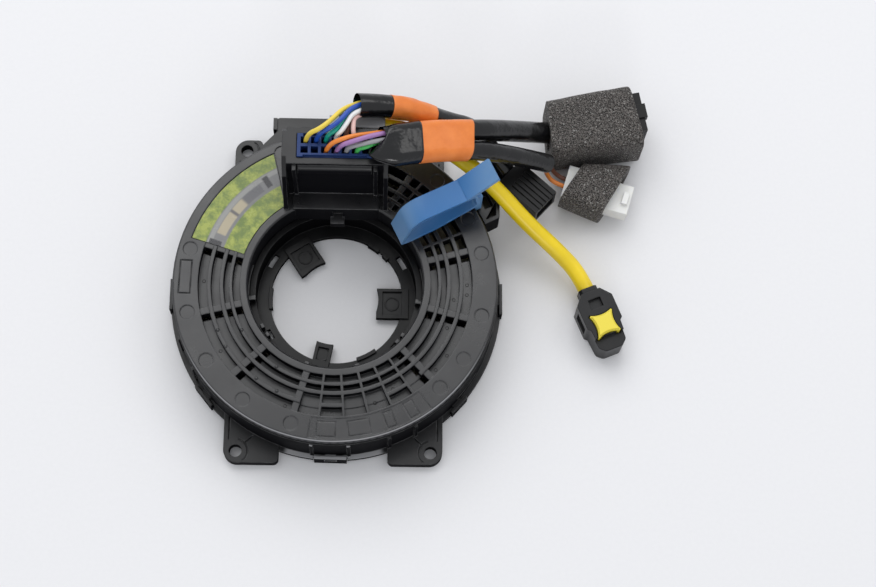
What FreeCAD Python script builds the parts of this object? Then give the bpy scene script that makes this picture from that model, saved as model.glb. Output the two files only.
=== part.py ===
import FreeCAD, Part
import math
import os

V = FreeCAD.Vector
UP = V(0, 0, 1)

# Steering clock spring: a fixed case on the column and a rotor that turns with the wheel.
# Millimetres. The origin is on the turning axis in the plane that the case stands on.
# +Z points to the driver, +Y to the connector tower, +X to the right of the tower.

# Driving sizes of the fixed case
PLATE_R = 55.0            # outer radius of the rotor plate, the largest turning part
WALL_STEP = 0.4           # the case wall stands out this far beyond the plate
LEDGE = 1.8               # width of the ledge round the foot
CASE_WALL_R = PLATE_R + WALL_STEP
LEDGE_R = CASE_WALL_R + LEDGE
CASE_WALL = 2.8           # thickness of the case wall
CASE_TOP = 18.3           # height of the case wall
LEDGE_Z = 1.6             # underside of the ledge
LEDGE_TOP = 3.4           # top of the ledge and of the floor cover
SKIN = 1.4                # skin of thin moulded walls

# Fixing lugs
LUG_X = 33.0              # screw holes, half the pitch across
LUG_Y = 54.4              # screw holes, half the pitch front to back
LUG_EDGE = 4.1            # from a screw hole to the two outer edges
LUG_INNER_X = 18.5        # inner side of the long front lugs
EAR_INNER_X = 27.5        # inner side of the short rear ears
LUG_TOP = 4.0             # height of the lugs
LUG_HOLE = 4.3            # screw hole
LUG_BOSS = 7.8            # boss round the screw hole

# Rear connector box, with its two sockets open downwards
BOX_X = 22.0              # half width
BOX_BACK = 62.3           # rear face
BOX_TOP = 16.0            # height
SOCKET_FRONT = 53.3       # front wall of the sockets
SOCKET_DEEP = 11.0        # depth of the sockets
SOCKET_SPLIT = 6.0        # middle of the wall between the sockets
INSERT_HIGH = 3.4         # thickness of the contact insert
PIN = 0.7                 # side of a square contact
PIN_TIP = 5.2             # height of the contact tips
PIN_PITCH = 2.6           # contact pitch
SIGNAL_PINS = 8           # contacts in a row of the signal socket

# Lock bracket beside the case wall
BRACKET_OUT = 55.9        # outermost x
BRACKET_TOP = 19.2        # height
BRACKET_FOOT = 9.0        # underside

# Floor cover
FLOOR = 1.6               # thickness of the floor
BORE_GAP = 0.4            # running clearance round the rotor sleeve
CLIP_SLOT = 4.4           # slot in each clip
CLIP_HIGH = 6.0           # height of the clips
CLIP_WALL = 1.1           # thickness of the clips
CLIP_PROUD = 0.3          # the clips stand out this far beyond the ledge
CLIP_GAP = 0.3            # round each clip in its notch in the ledge
# angle and width of the clips that hold the cover to the ledge
CLIPS = ((269.2, 11.0), (219.0, 9.0), (318.5, 7.5), (180.0, 11.0), (0.0, 11.0), (138.0, 8.0))
WALL_RIBS = (200.0, 212.0, 262.8, 275.6, 290.0, 300.0)

# Rotor plate and its grille
PLATE_TOP = 22.0          # top face
BAND = 2.0                # thickness of the plain outer band
BAND_R = 46.4             # inner radius of the outer band
GRILLE_DEEP = 4.6         # height of the ribs
SKIRT = 1.4               # width of the skirt under the rim
RUN_GAP = 0.4             # running gap between rotor and case
RIM_IN = 29.7             # hub wall, which is also the wall of the funnel
RIM_OUT = 31.4
RIM_EDGE = 32.3           # outer edge of the inner rim on top of the hub wall
RIM_BEVEL = 0.5
RIBS = ((34.8, 35.9), (37.8, 39.1), (42.0, 43.3))   # radii of the ring ribs
LANE_DEPTHS = (3.8, 4.0, 3.0, 3.2)                  # pockets between them, from the rim out
SPOKES = (15.3, 45.5, 57.4, 75.0, 163.4, 193.6, 224.0, 254.1, 315.2, 345.3)
SPOKE_WIDE = 2.3          # width of a spoke
SPOKE_SINK = 0.4          # the spokes lie this far below the ribs
SLIT_SPOKES = (15.3, 163.4, 193.6, 224.0, 315.2, 345.3)
SLIT_WIDE = 1.5           # open slit beside a spoke
THIN_SPOKES = (264.6, 274.7, 284.8, 294.9, 305.1, 23.5, 51.5)
THIN_WIDE = 0.8
WIDE_CELLS = ((255.6, 264.0), (275.3, 284.2), (285.4, 294.3), (305.7, 312.6))
OPEN_CELLS = ((17.0, 44.0), (47.0, 74.0))           # beside the tower
EJECTOR = 4.9             # round marks on the outer band
EJECTOR_R = 50.7
EJECTOR_ANGLES = (12.9, 27.9, 47.6, 112.8, 167.1, 192.7, 213.2, 234.0, 254.4, 314.6, 329.0, 347.6)
MARK_DEEP = 0.3
PLAIN_FIELD = (261.4, 307.4)                        # slightly sunk stretch of the band
# bare engraved frames: angle, length round the band and length across it
FRAMES = ((178.5, 12.0, 4.2), (267.8, 6.6, 5.4), (280.2, 7.6, 5.4), (292.0, 3.4, 5.8), (301.0, 3.6, 5.8))
FRAME_LINE = 0.35         # width of an engraved line

# Label and window
LABEL_IN, LABEL_OUT = 32.7, 51.3
LABEL_FROM, LABEL_TO = 112.0, 162.6
# the end beside the tower is cut along the line between these two points
LABEL_CUT = (V(-23.3, 50.0, 0), V(-16.9, 23.0, 0))
LABEL_EDGE = 0.3          # clearance of the film in its seat
LABEL_SINK = 0.35         # depth of the seat
FILM = 0.25               # thickness of the film
WINDOW_IN, WINDOW_OUT = 41.0, 44.2
WINDOW_FROM, WINDOW_TO = 127.5, 157.0

# Funnel, sleeve and tabs
HUB_LOW = 9.0             # lower end of the hub wall
SLEEVE_TOP = 12.0         # top of the sleeve inside the hub
SLEEVE_GAP = 0.2          # seat of the sleeve in the hub
SLEEVE_WALL = 2.0
LIP_R = 23.0              # bore at the lip
LIP_LOW, LIP_TOP = 0.6, 2.6
SLOT_SHARE = 0.53         # the slots start at this share of the way from the lip to the wall
FLANGE_R = 34.0           # flange that holds the rotor down
CHORD_Y = 26.0            # flat wall of the funnel under the tower
CHORD_LOW = 12.4
TAB_LOW, TAB_TOP = 1.2, 3.4
TAB_TRAY = 1.0            # depth of the tray in each tab
# direction, side offset, half width and inner end of the three blank tabs
TABS = ((0.0, -1.4, 5.4, 13.8), (123.0, 1.2, 4.9, 13.2), (258.5, -0.35, 2.95, 15.9))
TAB_MARK = 2.1            # radius of the ring in each tray
LIP_SLOTS = ((143.0, 154.0), (26.0, 37.0), (206.0, 214.0), (318.0, 326.0))
LIP_HOOKS = ((40.0, 46.0), (51.0, 62.0), (171.0, 190.0), (289.0, 307.0))
HOOK = 0.7                # the hooks reach in from the lip by this
FUNNEL_LUGS = (187.5, 209.0, 216.0, 251.0, 286.0, 319.0, 325.0, 351.5)

# Connector tower and plug
TOWER_X = -0.5            # middle of the tower
TOWER_HALF = 16.2         # half width
TOWER_FRONT = 33.4        # front face at the top
TOWER_FOOT = 31.9         # front face at the plate
TOWER_BACK = 46.5
TOWER_TOP = 46.0
CHEEK = 1.5               # side plates
CHEEK_FRONT = 26.2
GLAND_LONG = 2.5          # gland of the airbag lead behind the tower
BULGE_Z, BULGE_R = 42.4, 2.7
PLUG_HALF = 12.6
PLUG_Y0, PLUG_Y1 = 35.8, 44.0
PLUG_LOW, PLUG_TOP = 35.0, 46.8
PLUG_GAP = 0.2            # plug in its pocket
WAYS = 7                  # cavities in a row
WAY_PITCH = 3.4
WAY_SIDE = 2.4            # side of a square cavity
WAY_FLOOR = 38.0          # floor of the cavities, where the wires end
ROW_FRONT, ROW_BACK = 38.2, 41.6

# Carrier, rollers and flat cable
ROLLER_PITCH_R = 41.2
ROLLER_R = 3.7
ROLLERS = 6
ROLLER_FIRST = 141.0
PIVOT_R = 1.4
PIVOT_GAP = 0.08
ROLLER_LOW, ROLLER_TOP = 5.8, 15.6
CARRIER_IN, CARRIER_OUT = 35.0, 48.4
CARRIER_LOW, CARRIER_TOP = 4.1, 5.4
CABLE = 0.4               # thickness of the flat cable
CABLE_LOW, CABLE_TOP = 6.0, 16.6
COIL_TURNS = 2
COIL_PITCH = 0.9
TURN_R = 6.6              # U turn of the cable
TURN_ANGLE = 171.0
SHEET = 0.2

# Wires, sleeves and lead
WIRE = 1.6
SLEEVE = 7.0              # rear harness sleeve
PAIR_SLEEVE = 6.6         # the two front sleeves, taped side by side
LEAD = 5.8                # sheathed airbag lead
TAPE = 0.4                # thickness of a tape wrap
MOUTH_DEEP = 14.0         # hollow end of a sleeve, where the wires go in
MOUTH_WALL = 0.4
SEAT_GAP = 0.15           # round a sleeve where it ends in a connector

# Airbag connector, yellow lock and the other connectors
SQUIB_AT = V(87.6, 1.6, 0)
SQUIB_AZ = -67.5
SQUIB_LONG, SQUIB_WIDE, SQUIB_HIGH = 21.5, 13.0, 12.0
LOCK_AT = 12.6            # from the rear face to the middle of the lock
LOCK_SIDE = 8.6
LOCK_GAP = 0.3
LOCK_DEEP = 6.0
RIBBED_AT = V(59.4, 42.6, 0)
RIBBED_AZ = -42.0
RIBBED_LONG, RIBBED_WIDE, RIBBED_LOW, RIBBED_TOP = 17.0, 10.8, 9.0, 19.0
MAIN_AT = V(74.4, 59.9, 0)
MAIN_AZ = 11.0
MAIN_LONG, MAIN_WIDE, MAIN_HIGH = 33.0, 14.5, 15.0
WHITE_AT = V(79.6, 42.4, 0)
WHITE_AZ = -16.5
WHITE_LONG, WHITE_WIDE, WHITE_HIGH = 24.0, 12.4, 8.0
CELL_SIDE = 2.0           # cavities of the white connector
CELL_DEEP = 4.0
FOAM = 2.8                # thickness of the foam wraps
FOAM_GAP = 0.3
WRAPPED_LOW = 3.0         # underside of the wrapped connectors, above the foam they rest on

# Lock strap: a loop in an upright plane
STRAP_AT = V(23.0, 13.8, 0)
STRAP_AZ = 26.0
STRAP_WIDE = 8.2
STRAP_THICK = 1.1
STRAP_FOOT_FROM, STRAP_FOOT_TO = 27.7, 30.2
STRAP_FOOT_WIDE = 5.0
STRAP_FOOT_LOW = 19.8
STRAP_NOTCH_GAP = 0.4
STRAP_REST = 22.35        # the loop lies just above the plate

# Routes, chosen by hand from the photograph
REAR_ROUTE = [V(6.6, 52.5, 51.0), V(21.0, 55.0, 46.0), V(35.0, 56.0, 39.6),
              V(47.5, 55.0, 27.0), V(55.0, 47.6, 17.4), V(60.6, 41.1, 13.4)]
FRONT_ROUTE = [V(15.0, 41.4, 51.3), V(27.3, 45.65, 46.0), V(45.4, 49.0, 40.0),
               V(59.4, 54.2, 27.5), V(76.6, 60.4, 10.8)]
LOWER_ROUTE = [V(15.2, 34.2, 50.8), V(27.2, 38.5, 46.1), V(45.5, 41.9, 40.0),
               V(59.8, 44.2, 30.0), V(72.8, 45.5, 19.5)]
LEAD_ROUTE = [V(3.0, 49.6, 41.6), V(16.0, 50.4, 41.0), V(30.0, 47.4, 36.5),
              V(42.2, 42.6, 30.2), V(53.8, 34.6, 24.6), V(65.0, 25.0, 16.5),
              V(76.8, 16.6, 9.8), V(84.5, 9.1, 7.0), V(87.4, 2.1, 6.5)]

# Wires of a sleeve: colour, cavity, angle in the mouth, first height, crest, way to the mouth
REAR_WIRES = (("yellow", 0, 180, 50.7, V(-4.0, 45.3, 56.2), 1.5),
              ("blue", 1, 120, 50.8, V(0.2, 46.3, 56.0), 0.4),
              ("teal", 2, 240, 50.0, V(1.1, 46.2, 53.6), 1.2),
              ("white", 3, 60, 49.9, V(2.1, 45.2, 54.0), 0.8),
              ("brown", 4, 300, 48.3, V(3.6, 46.3, 51.5), 0.7),
              ("pink", 5, 0, 49.7, V(5.3, 45.7, 52.4), 1.1))
FRONT_WIRES = (("orange", 2, 190, 49.6, V(3.4, 40.3, 53.4), 0.7),
               ("purple", 3, 110, 49.1, V(6.2, 38.5, 54.6), 1.5),
               ("grey", 4, 30, 48.4, V(6.5, 37.8, 52.0), 2.7),
               ("green", 5, 300, 48.0, V(10.2, 37.9, 50.7), 1.0))
REAR_SPREAD, FRONT_SPREAD = 2.0, 1.7      # radius of the ring of wires in each mouth
# Tail wires: colour, angle in the sleeve, way out, lowest bend, way to the cell, cell
TAIL_WIRES = (("brown", 90, 0.8, V(74.3, 46.3, 12.9), 1.9, 1.3),
              ("orange", 270, 0.2, V(72.4, 45.2, 12.3), 3.7, -1.3))
TAIL_SPREAD = 1.2
CELL_LEVEL = 8.6


def polar(radius, angle, z=0.0):
    a = math.radians(angle)
    return V(radius * math.cos(a), radius * math.sin(a), z)


def box(x0, x1, y0, y1, z0, z1):
    return Part.makeBox(x1 - x0, y1 - y0, z1 - z0, V(x0, y0, z0))


def disc(radius, z0, z1, at=V(0, 0, 0)):
    return Part.makeCylinder(radius, z1 - z0, V(at.x, at.y, z0))


def ring(r0, r1, z0, z1, at=V(0, 0, 0)):
    return disc(r1, z0, z1, at).cut(disc(r0, z0, z1, at))


def sector(r0, r1, a0, a1, z0, z1):
    """A piece of a ring between two angles."""
    corners = [V(r0, 0, z0), V(r1, 0, z0), V(r1, 0, z1), V(r0, 0, z1), V(r0, 0, z0)]
    face = Part.Face(Part.makePolygon(corners))
    face.rotate(V(0, 0, 0), UP, a0)
    return face.revolve(V(0, 0, 0), UP, a1 - a0)


def revolved(profile):
    """A solid turned about Z from a closed outline of (radius, height) pairs."""
    corners = [V(r, 0, z) for r, z in profile]
    face = Part.Face(Part.makePolygon(corners + corners[:1]))
    return face.revolve(V(0, 0, 0), UP, 360)


def rounded(points, radii):
    """A closed wire through the points, with each corner rounded by its radius."""
    count = len(points)
    starts, ends, arcs = [], [], []
    for i in range(count):
        before, here, after = points[i - 1], points[i], points[(i + 1) % count]
        d0, d1 = (before - here).normalize(), (after - here).normalize()
        half = d0.getAngle(d1) / 2
        step = radii[i] / math.tan(half)
        middle = here + (d0 + d1).normalize() * (radii[i] / math.sin(half) - radii[i])
        starts.append(here + d0 * step)
        ends.append(here + d1 * step)
        arcs.append(middle)
    edges = []
    for i in range(count):
        if radii[i] > 0.01:
            edges.append(Part.Arc(starts[i], arcs[i], ends[i]).toShape())
        following = (i + 1) % count
        edges.append(Part.LineSegment(ends[i], starts[following]).toShape())
    return Part.Wire(edges)


def plate(outline, radii, z0, z1):
    """An upright prism over a rounded outline of (x, y) pairs."""
    wire = rounded([V(x, y, z0) for x, y in outline], radii)
    return Part.Face(wire).extrude(V(0, 0, z1 - z0))


def spoke(angle, width, r0, r1, z0, z1, side=0.0):
    """A straight bar along a radius, moved sideways by side."""
    bar = box(r0, r1, side - width / 2, side + width / 2, z0, z1)
    bar.rotate(V(0, 0, 0), UP, angle)
    return bar


def placed(shape, at, azimuth):
    """A shape drawn along +X, turned and put in its place."""
    moved = shape.copy()
    moved.rotate(V(0, 0, 0), UP, azimuth)
    moved.translate(at)
    return moved


def fused(shapes):
    return shapes[0].fuse(shapes[1:]).removeSplitter()


def swept(route, diameter):
    """Straight runs joined by arcs as large as the runs allow: solid, length and least radius."""
    edges, length, tight = [], 0.0, 1e9
    last = route[0]
    for i in range(1, len(route) - 1):
        before, here, after = route[i - 1], route[i], route[i + 1]
        d0, d1 = (before - here).normalize(), (after - here).normalize()
        turn = math.pi - d0.getAngle(d1)
        step = 0.45 * min((before - here).Length, (after - here).Length)
        radius = step / math.tan(turn / 2)
        tight = min(tight, radius)
        middle = here + (d0 + d1).normalize() * (radius / math.cos(turn / 2) - radius)
        start, end = here + d0 * step, here + d1 * step
        edges.append(Part.LineSegment(last, start).toShape())
        edges.append(Part.Arc(start, middle, end).toShape())
        length += (start - last).Length + radius * turn
        last = end
    edges.append(Part.LineSegment(last, route[-1]).toShape())
    length += (route[-1] - last).Length
    circle = Part.Circle(route[0], route[1] - route[0], diameter / 2).toShape()
    solid = Part.Wire(edges).makePipeShell([Part.Wire([circle])], True, False)
    return solid, length, tight


def cord(route, diameter, name):
    """A swept cord, with its radii and volume printed for checking."""
    solid, length, tight = swept(route, diameter)
    section = math.pi * diameter ** 2 / 4
    print(name, "length", round(length, 1), "tightest", round(tight, 1),
          "volume ratio", round(solid.Volume / (section * length), 3))
    return solid


def rod(start, end, diameter):
    return Part.makeCylinder(diameter / 2, (end - start).Length, start, end - start)


def along(route, index, share):
    """A point on one run of a route."""
    return route[index] + (route[index + 1] - route[index]) * share


# Fixed case


def lug(side, end, inner):
    """One fixing lug: a skin with a rim below it, a bossed screw hole and two ribs."""
    out_x, out_y = LUG_X + LUG_EDGE, LUG_Y + LUG_EDGE
    outline = [(inner, 40), (inner, out_y), (out_x, out_y), (out_x, 36)]
    radii = [0, 1.8, 4.6, 0]
    solid = plate(outline, radii, 0, LUG_TOP)
    under = plate([(inner + SKIN, 41), (inner + SKIN, out_y - SKIN),
                   (out_x - SKIN, out_y - SKIN), (out_x - SKIN, 41)],
                  [0, 0.8, 3.2, 0], 0, LUG_TOP - SKIN)
    hole = V(LUG_X, LUG_Y, 0)
    boss = disc(LUG_BOSS / 2, 0, LUG_TOP, hole)
    solid = solid.cut(under.cut(boss)).cut(disc(LUG_HOLE / 2, -1, LUG_TOP + 1, hole))
    groove = ring(LUG_BOSS / 2, LUG_BOSS / 2 + 0.5, LUG_TOP - 0.4, LUG_TOP + 1, hole)
    groove = groove.common(box(LUG_X - 6, LUG_X - 1, LUG_Y - 5, LUG_Y + 3.2, 0, LUG_TOP + 1))
    side_slit = box(out_x - 2.0, out_x - 1.6, 40, LUG_Y - LUG_BOSS / 2, LUG_TOP - 0.6, LUG_TOP + 1)
    slant_slit = placed(box(LUG_BOSS / 2, LUG_BOSS, -0.2, 0.2, LUG_TOP - 0.6, LUG_TOP + 1), hole, 222)
    solid = solid.cut([groove, side_slit, slant_slit])
    solid = solid.cut(disc(CASE_WALL_R - 1, -1, LUG_TOP + 1))
    if side < 0:
        solid = solid.mirror(V(0, 0, 0), V(1, 0, 0))
    return solid.mirror(V(0, 0, 0), V(0, 1, 0)) if end < 0 else solid


def rear_box():
    """Outer form of the rear connector box, with a small fin at its left corner."""
    outline = [(-BOX_X, BOX_BACK), (BOX_X, BOX_BACK), (BOX_X, 57.0), (27.5, 51.0),
               (27.5, 44.0), (-27.5, 44.0), (-27.5, 51.0), (-BOX_X, 57.0)]
    body = plate(outline, [1.2, 1.2, 0.8, 0.8, 0, 0, 0.8, 0.8], 0, BOX_TOP)
    fin = box(-BOX_X - 1.2, -BOX_X + 0.2, 57.5, BOX_BACK - 0.4, 6, BOX_TOP + 0.8)
    body = body.fuse(fin)
    return body.cut(disc(CASE_WALL_R - 1, -1, BOX_TOP + 2))


def sockets():
    """The two sockets and the seat of the contact insert above them."""
    side, back = BOX_X - 2.7, BOX_BACK - SKIN
    split = SKIN
    left = box(-side, SOCKET_SPLIT - split, SOCKET_FRONT, back, -1, SOCKET_DEEP)
    right = box(SOCKET_SPLIT + split, side, SOCKET_FRONT, back, -1, SOCKET_DEEP)
    seat = box(-side, side, SOCKET_FRONT, back, SOCKET_DEEP, SOCKET_DEEP + INSERT_HIGH + 0.2)
    left = left.cut(disc(CASE_WALL_R + 0.6, -2, SOCKET_DEEP + 1))
    right = right.cut(disc(CASE_WALL_R + 0.6, -2, SOCKET_DEEP + 1))
    seat = seat.cut(disc(CASE_WALL_R + 0.6, SOCKET_DEEP - 1, BOX_TOP))
    return left, right, seat


def lock_bracket():
    """Bracket beside the wall that takes the foot of the transit strap."""
    outline = [(44.0, 21.6), (48.7, 21.6), (BRACKET_OUT, 25.4), (BRACKET_OUT, 32.2),
               (52.0, 36.0), (43.0, 36.0)]
    body = plate(outline, [0, 0, 0.8, 0.8, 0.8, 0], BRACKET_FOOT, BRACKET_TOP)
    pocket = plate([(51.0, 24.4), (54.6, 26.2), (54.6, 31.6)], [0.2, 0.2, 0.2],
                   BRACKET_TOP - 5.0, BRACKET_TOP + 1)
    slot = placed(box(-1.6, 1.6, -3.2, 3.2, BRACKET_TOP - 4, BRACKET_TOP + 1),
                  V(50.9, 31.9, 0), STRAP_AZ)
    body = body.cut(pocket).cut(slot.common(box(47, 54.4, 28, 34.6, 0, 30)))
    inside = disc(CASE_WALL_R - 1, BRACKET_FOOT - 1, CASE_TOP)
    gap = disc(PLATE_R + RUN_GAP + 0.3, CASE_TOP, BRACKET_TOP + 1)
    return body.cut(inside).cut(gap)


def stator_case():
    wall_in = CASE_WALL_R - CASE_WALL
    wall = ring(wall_in, CASE_WALL_R, LEDGE_Z, CASE_TOP)
    ledge = ring(wall_in, LEDGE_R, LEDGE_Z, LEDGE_TOP)
    parts = [wall, ledge, rear_box(), lock_bracket()]
    for side in (-1, 1):
        parts.append(lug(side, -1, LUG_INNER_X))
        parts.append(lug(side, 1, EAR_INNER_X))
    for angle, _ in CLIPS:
        parts.append(spoke(angle, CLIP_SLOT - 0.8, CASE_WALL_R - 1, LEDGE_R + CLIP_PROUD,
                           LEDGE_TOP, LEDGE_TOP + 1.2))
    for angle in WALL_RIBS:
        parts.append(spoke(angle, 1.2, CASE_WALL_R - 1, CASE_WALL_R + 0.7, LEDGE_TOP, CASE_TOP - 0.6))
    case = fused(parts)
    left, right, seat = sockets()
    case = case.cut([left, right, seat, disc(wall_in, -1, CASE_TOP + 1)])
    clip_in = LEDGE_R + CLIP_PROUD - CLIP_WALL
    windows = [spoke(angle, wide + 2 * CLIP_GAP, clip_in - CLIP_GAP, LEDGE_R + 1, LEDGE_Z - 1, LEDGE_TOP)
               for angle, wide in CLIPS]
    for angle in (215.0, 325.0):
        window = sector(CASE_WALL_R - 3.4, CASE_WALL_R + 0.4, angle - 6, angle + 6, 6.5, 10.5)
        windows.append(window)
    return case.cut(windows).removeSplitter()


def bottom_cover():
    """Floor of the cable room: bore for the rotor sleeve, and clips round the edge."""
    bore = RIM_OUT + BORE_GAP
    edge = CASE_WALL_R - CASE_WALL - 0.15
    floor = ring(bore, edge, LEDGE_TOP - FLOOR, LEDGE_TOP)
    foot = ring(edge - 2.0, edge, 0, LEDGE_TOP - FLOOR)
    inner = ring(FLANGE_R + 1.0, FLANGE_R + 2.4, 0.2, LEDGE_TOP - FLOOR)
    parts = [floor, foot, inner]
    for k in range(12):
        parts.append(spoke(15 + 30 * k, 1.2, FLANGE_R + 2.0, edge - 1.0, 0.4, LEDGE_TOP - FLOOR))
    clip_in = LEDGE_R + CLIP_PROUD - CLIP_WALL
    for angle, wide in CLIPS:
        tongue = spoke(angle, wide, edge - 1.0, clip_in + CLIP_WALL, 0, LEDGE_Z - 0.2)
        upright = spoke(angle, wide, clip_in, clip_in + CLIP_WALL, 0, CLIP_HIGH)
        slot = spoke(angle, CLIP_SLOT, clip_in - 1, clip_in + 3, LEDGE_TOP - 0.3, CLIP_HIGH - 1.1)
        parts.append(tongue.fuse(upright).cut(slot))
    return fused(parts)


def slip_sheet():
    return ring(RIM_OUT + BORE_GAP + 1.6, CASE_WALL_R - CASE_WALL - 0.6, LEDGE_TOP + 0.02,
                LEDGE_TOP + 0.02 + SHEET)


def stator_insert():
    side, back = BOX_X - 2.9, BOX_BACK - SKIN - 0.2
    block = box(-side, side, SOCKET_FRONT + 0.2, back, SOCKET_DEEP + 0.05,
                SOCKET_DEEP + 0.05 + INSERT_HIGH)
    return block.cut(disc(CASE_WALL_R + 0.9, SOCKET_DEEP - 1, BOX_TOP))


def contact(x, y):
    return box(x - PIN / 2, x + PIN / 2, y - PIN / 2, y + PIN / 2, PIN_TIP, SOCKET_DEEP + 0.05)


def signal_contacts():
    first = -BOX_X + 2.7 + 2.6
    pins = []
    for row in (57.4, 59.6):
        for k in range(SIGNAL_PINS):
            pins.append(contact(first + k * PIN_PITCH, row))
    return Part.makeCompound(pins)


def airbag_contacts():
    middle = (SOCKET_SPLIT + BOX_X - 2.7) / 2
    return Part.makeCompound([contact(middle - 2, 58.4), contact(middle + 2, 58.4)])


# Rotor


def lane_edges():
    edges = [RIM_EDGE] + [r for rib in RIBS for r in rib] + [BAND_R]
    return [(edges[i], edges[i + 1]) for i in range(0, len(edges), 2)]


def grille_tools():
    """Pockets and open slits between the ring ribs and the spokes."""
    under, over = PLATE_TOP - GRILLE_DEEP - 1, PLATE_TOP + 1
    lanes = list(zip(lane_edges(), LANE_DEPTHS))
    pockets = Part.makeCompound([ring(r0, r1, PLATE_TOP - deep, over) for (r0, r1), deep in lanes])
    open_lanes = Part.makeCompound([ring(r0, r1, under, over) for (r0, r1), _ in lanes])
    sunk_lanes = Part.makeCompound([ring(r0, r1, PLATE_TOP - SPOKE_SINK, over) for (r0, r1), _ in lanes])
    bars = [spoke(angle, SPOKE_WIDE, 25, 52, under, over + 1) for angle in SPOKES]
    thin = [spoke(angle, THIN_WIDE, 25, 52, under, over + 1) for angle in THIN_SPOKES]
    slits = []
    for angle in SLIT_SPOKES:
        turn = 1 if 90 < angle < 280 else -1
        shift = turn * (SPOKE_WIDE + SLIT_WIDE) / 2
        slits.append(spoke(angle, SLIT_WIDE, 25, 52, under, over + 1, shift))
    for a0, a1 in OPEN_CELLS:
        slits.append(sector(30, 48, a0, a1, under, over + 1))
    wide = [sector(RIBS[1][1], BAND_R, a0, a1, PLATE_TOP - LANE_DEPTHS[2], over) for a0, a1 in WIDE_CELLS]
    seat = sector(RIM_IN, BAND_R + 1, LABEL_FROM - 4, LABEL_TO + 0.2, under - 1, over + 1)
    tower = box(TOWER_X - TOWER_HALF - 1, TOWER_X + TOWER_HALF + 1, CHORD_Y, 60, under - 1, over + 1)
    keep = [seat, tower]
    pockets = pockets.cut(bars + thin + keep)
    opened = open_lanes.common(Part.makeCompound(slits)).cut(bars + thin + keep)
    sunk = sunk_lanes.common(Part.makeCompound(bars)).cut(keep)
    return [pockets, opened, sunk] + wide


def frame_tools():
    """Bare engraved frames and the sunk stretch of the outer band."""
    tools = [sector(BAND_R + 0.7, PLATE_R - 0.7, *PLAIN_FIELD, PLATE_TOP - FRAME_LINE / 2, PLATE_TOP + 1)]
    for angle, long, wide in FRAMES:
        outer = box(EJECTOR_R - wide / 2, EJECTOR_R + wide / 2, -long / 2, long / 2,
                    PLATE_TOP - FRAME_LINE, PLATE_TOP + 1)
        inner = box(EJECTOR_R - wide / 2 + FRAME_LINE, EJECTOR_R + wide / 2 - FRAME_LINE,
                    FRAME_LINE - long / 2, long / 2 - FRAME_LINE, PLATE_TOP - 1, PLATE_TOP + 2)
        tools.append(placed(outer.cut(inner), V(0, 0, 0), angle))
    return tools


def label_shape(grow, z0, z1):
    """The label's outline as a solid, widened by grow."""
    whole = sector(LABEL_IN - grow, LABEL_OUT + grow, LABEL_FROM, LABEL_TO + grow, z0, z1)
    start, end = LABEL_CUT
    across = V(end.y - start.y, start.x - end.x, 0).normalize() * -grow
    corners = [start + across, end + across, end + across + V(20, 0, 0), start + across + V(20, 0, 0)]
    wedge = Part.Face(Part.makePolygon(corners + corners[:1])).extrude(V(0, 0, 60))
    return whole.cut(wedge)


def tower_solid():
    """Connector tower: raked front, rounded rib, side plates and a pocket for the plug."""
    x0, x1 = TOWER_X - TOWER_HALF, TOWER_X + TOWER_HALF
    foot = PLATE_TOP - GRILLE_DEEP
    outline = [V(x0, TOWER_FOOT, foot), V(x0, TOWER_FOOT, PLATE_TOP),
               V(x0, TOWER_FRONT, BULGE_Z - BULGE_R), V(x0, TOWER_FRONT, TOWER_TOP),
               V(x0, TOWER_BACK, TOWER_TOP), V(x0, TOWER_BACK, foot)]
    body = Part.Face(Part.makePolygon(outline + outline[:1])).extrude(V(x1 - x0, 0, 0))
    bulge = Part.makeCylinder(BULGE_R, 24.6, V(TOWER_X - 12.3, TOWER_FRONT + 0.9, BULGE_Z), V(1, 0, 0))
    parts = [body, bulge]
    for x in (TOWER_X - 14.2, TOWER_X + 12.9):
        parts.append(box(x, x + 1.3, TOWER_FOOT - 0.5, TOWER_FRONT + 1, PLATE_TOP, TOWER_TOP - 1))
    for x in (x0 - CHEEK, x1):
        cheek = [V(x, CHEEK_FRONT, foot + 1), V(x, CHEEK_FRONT, 24.0), V(x, 31.0, 40.0),
                 V(x, 36.0, TOWER_TOP), V(x, TOWER_BACK - 1.5, TOWER_TOP),
                 V(x, TOWER_BACK, TOWER_TOP - 2), V(x, TOWER_BACK, foot)]
        parts.append(Part.Face(Part.makePolygon(cheek + cheek[:1])).extrude(V(CHEEK, 0, 0)))
    panel = box(TOWER_X - 14.7, TOWER_X + 14.7, CHORD_Y, TOWER_FOOT + 1, PLATE_TOP - 2, PLATE_TOP + 0.8)
    parts.append(panel)
    start = LEAD_ROUTE[0]
    gland = rod(start - heading(start, LEAD_ROUTE[1]) * GLAND_LONG, start, LEAD + 2.4)
    saddle = box(start.x - GLAND_LONG, start.x - 0.3, TOWER_BACK - 1, start.y + 1,
                 start.z - 5.6, start.z + 1.4)
    parts.append(gland.fuse(saddle))
    return fused(parts)


def tower_hollow():
    """Pocket of the plug and the room of the contact insert below it."""
    half = PLUG_HALF + PLUG_GAP
    pocket = box(TOWER_X - half, TOWER_X + half, PLUG_Y0 - PLUG_GAP, PLUG_Y1 + PLUG_GAP,
                 PLUG_LOW - 0.1, TOWER_TOP + 5)
    room = box(TOWER_X - half + 1.2, TOWER_X + half - 1.2, PLUG_Y0 + 0.9, PLUG_Y1 - 0.9,
               PLATE_TOP - GRILLE_DEEP - 1, PLUG_LOW + 1)
    return pocket.fuse(room)


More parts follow.
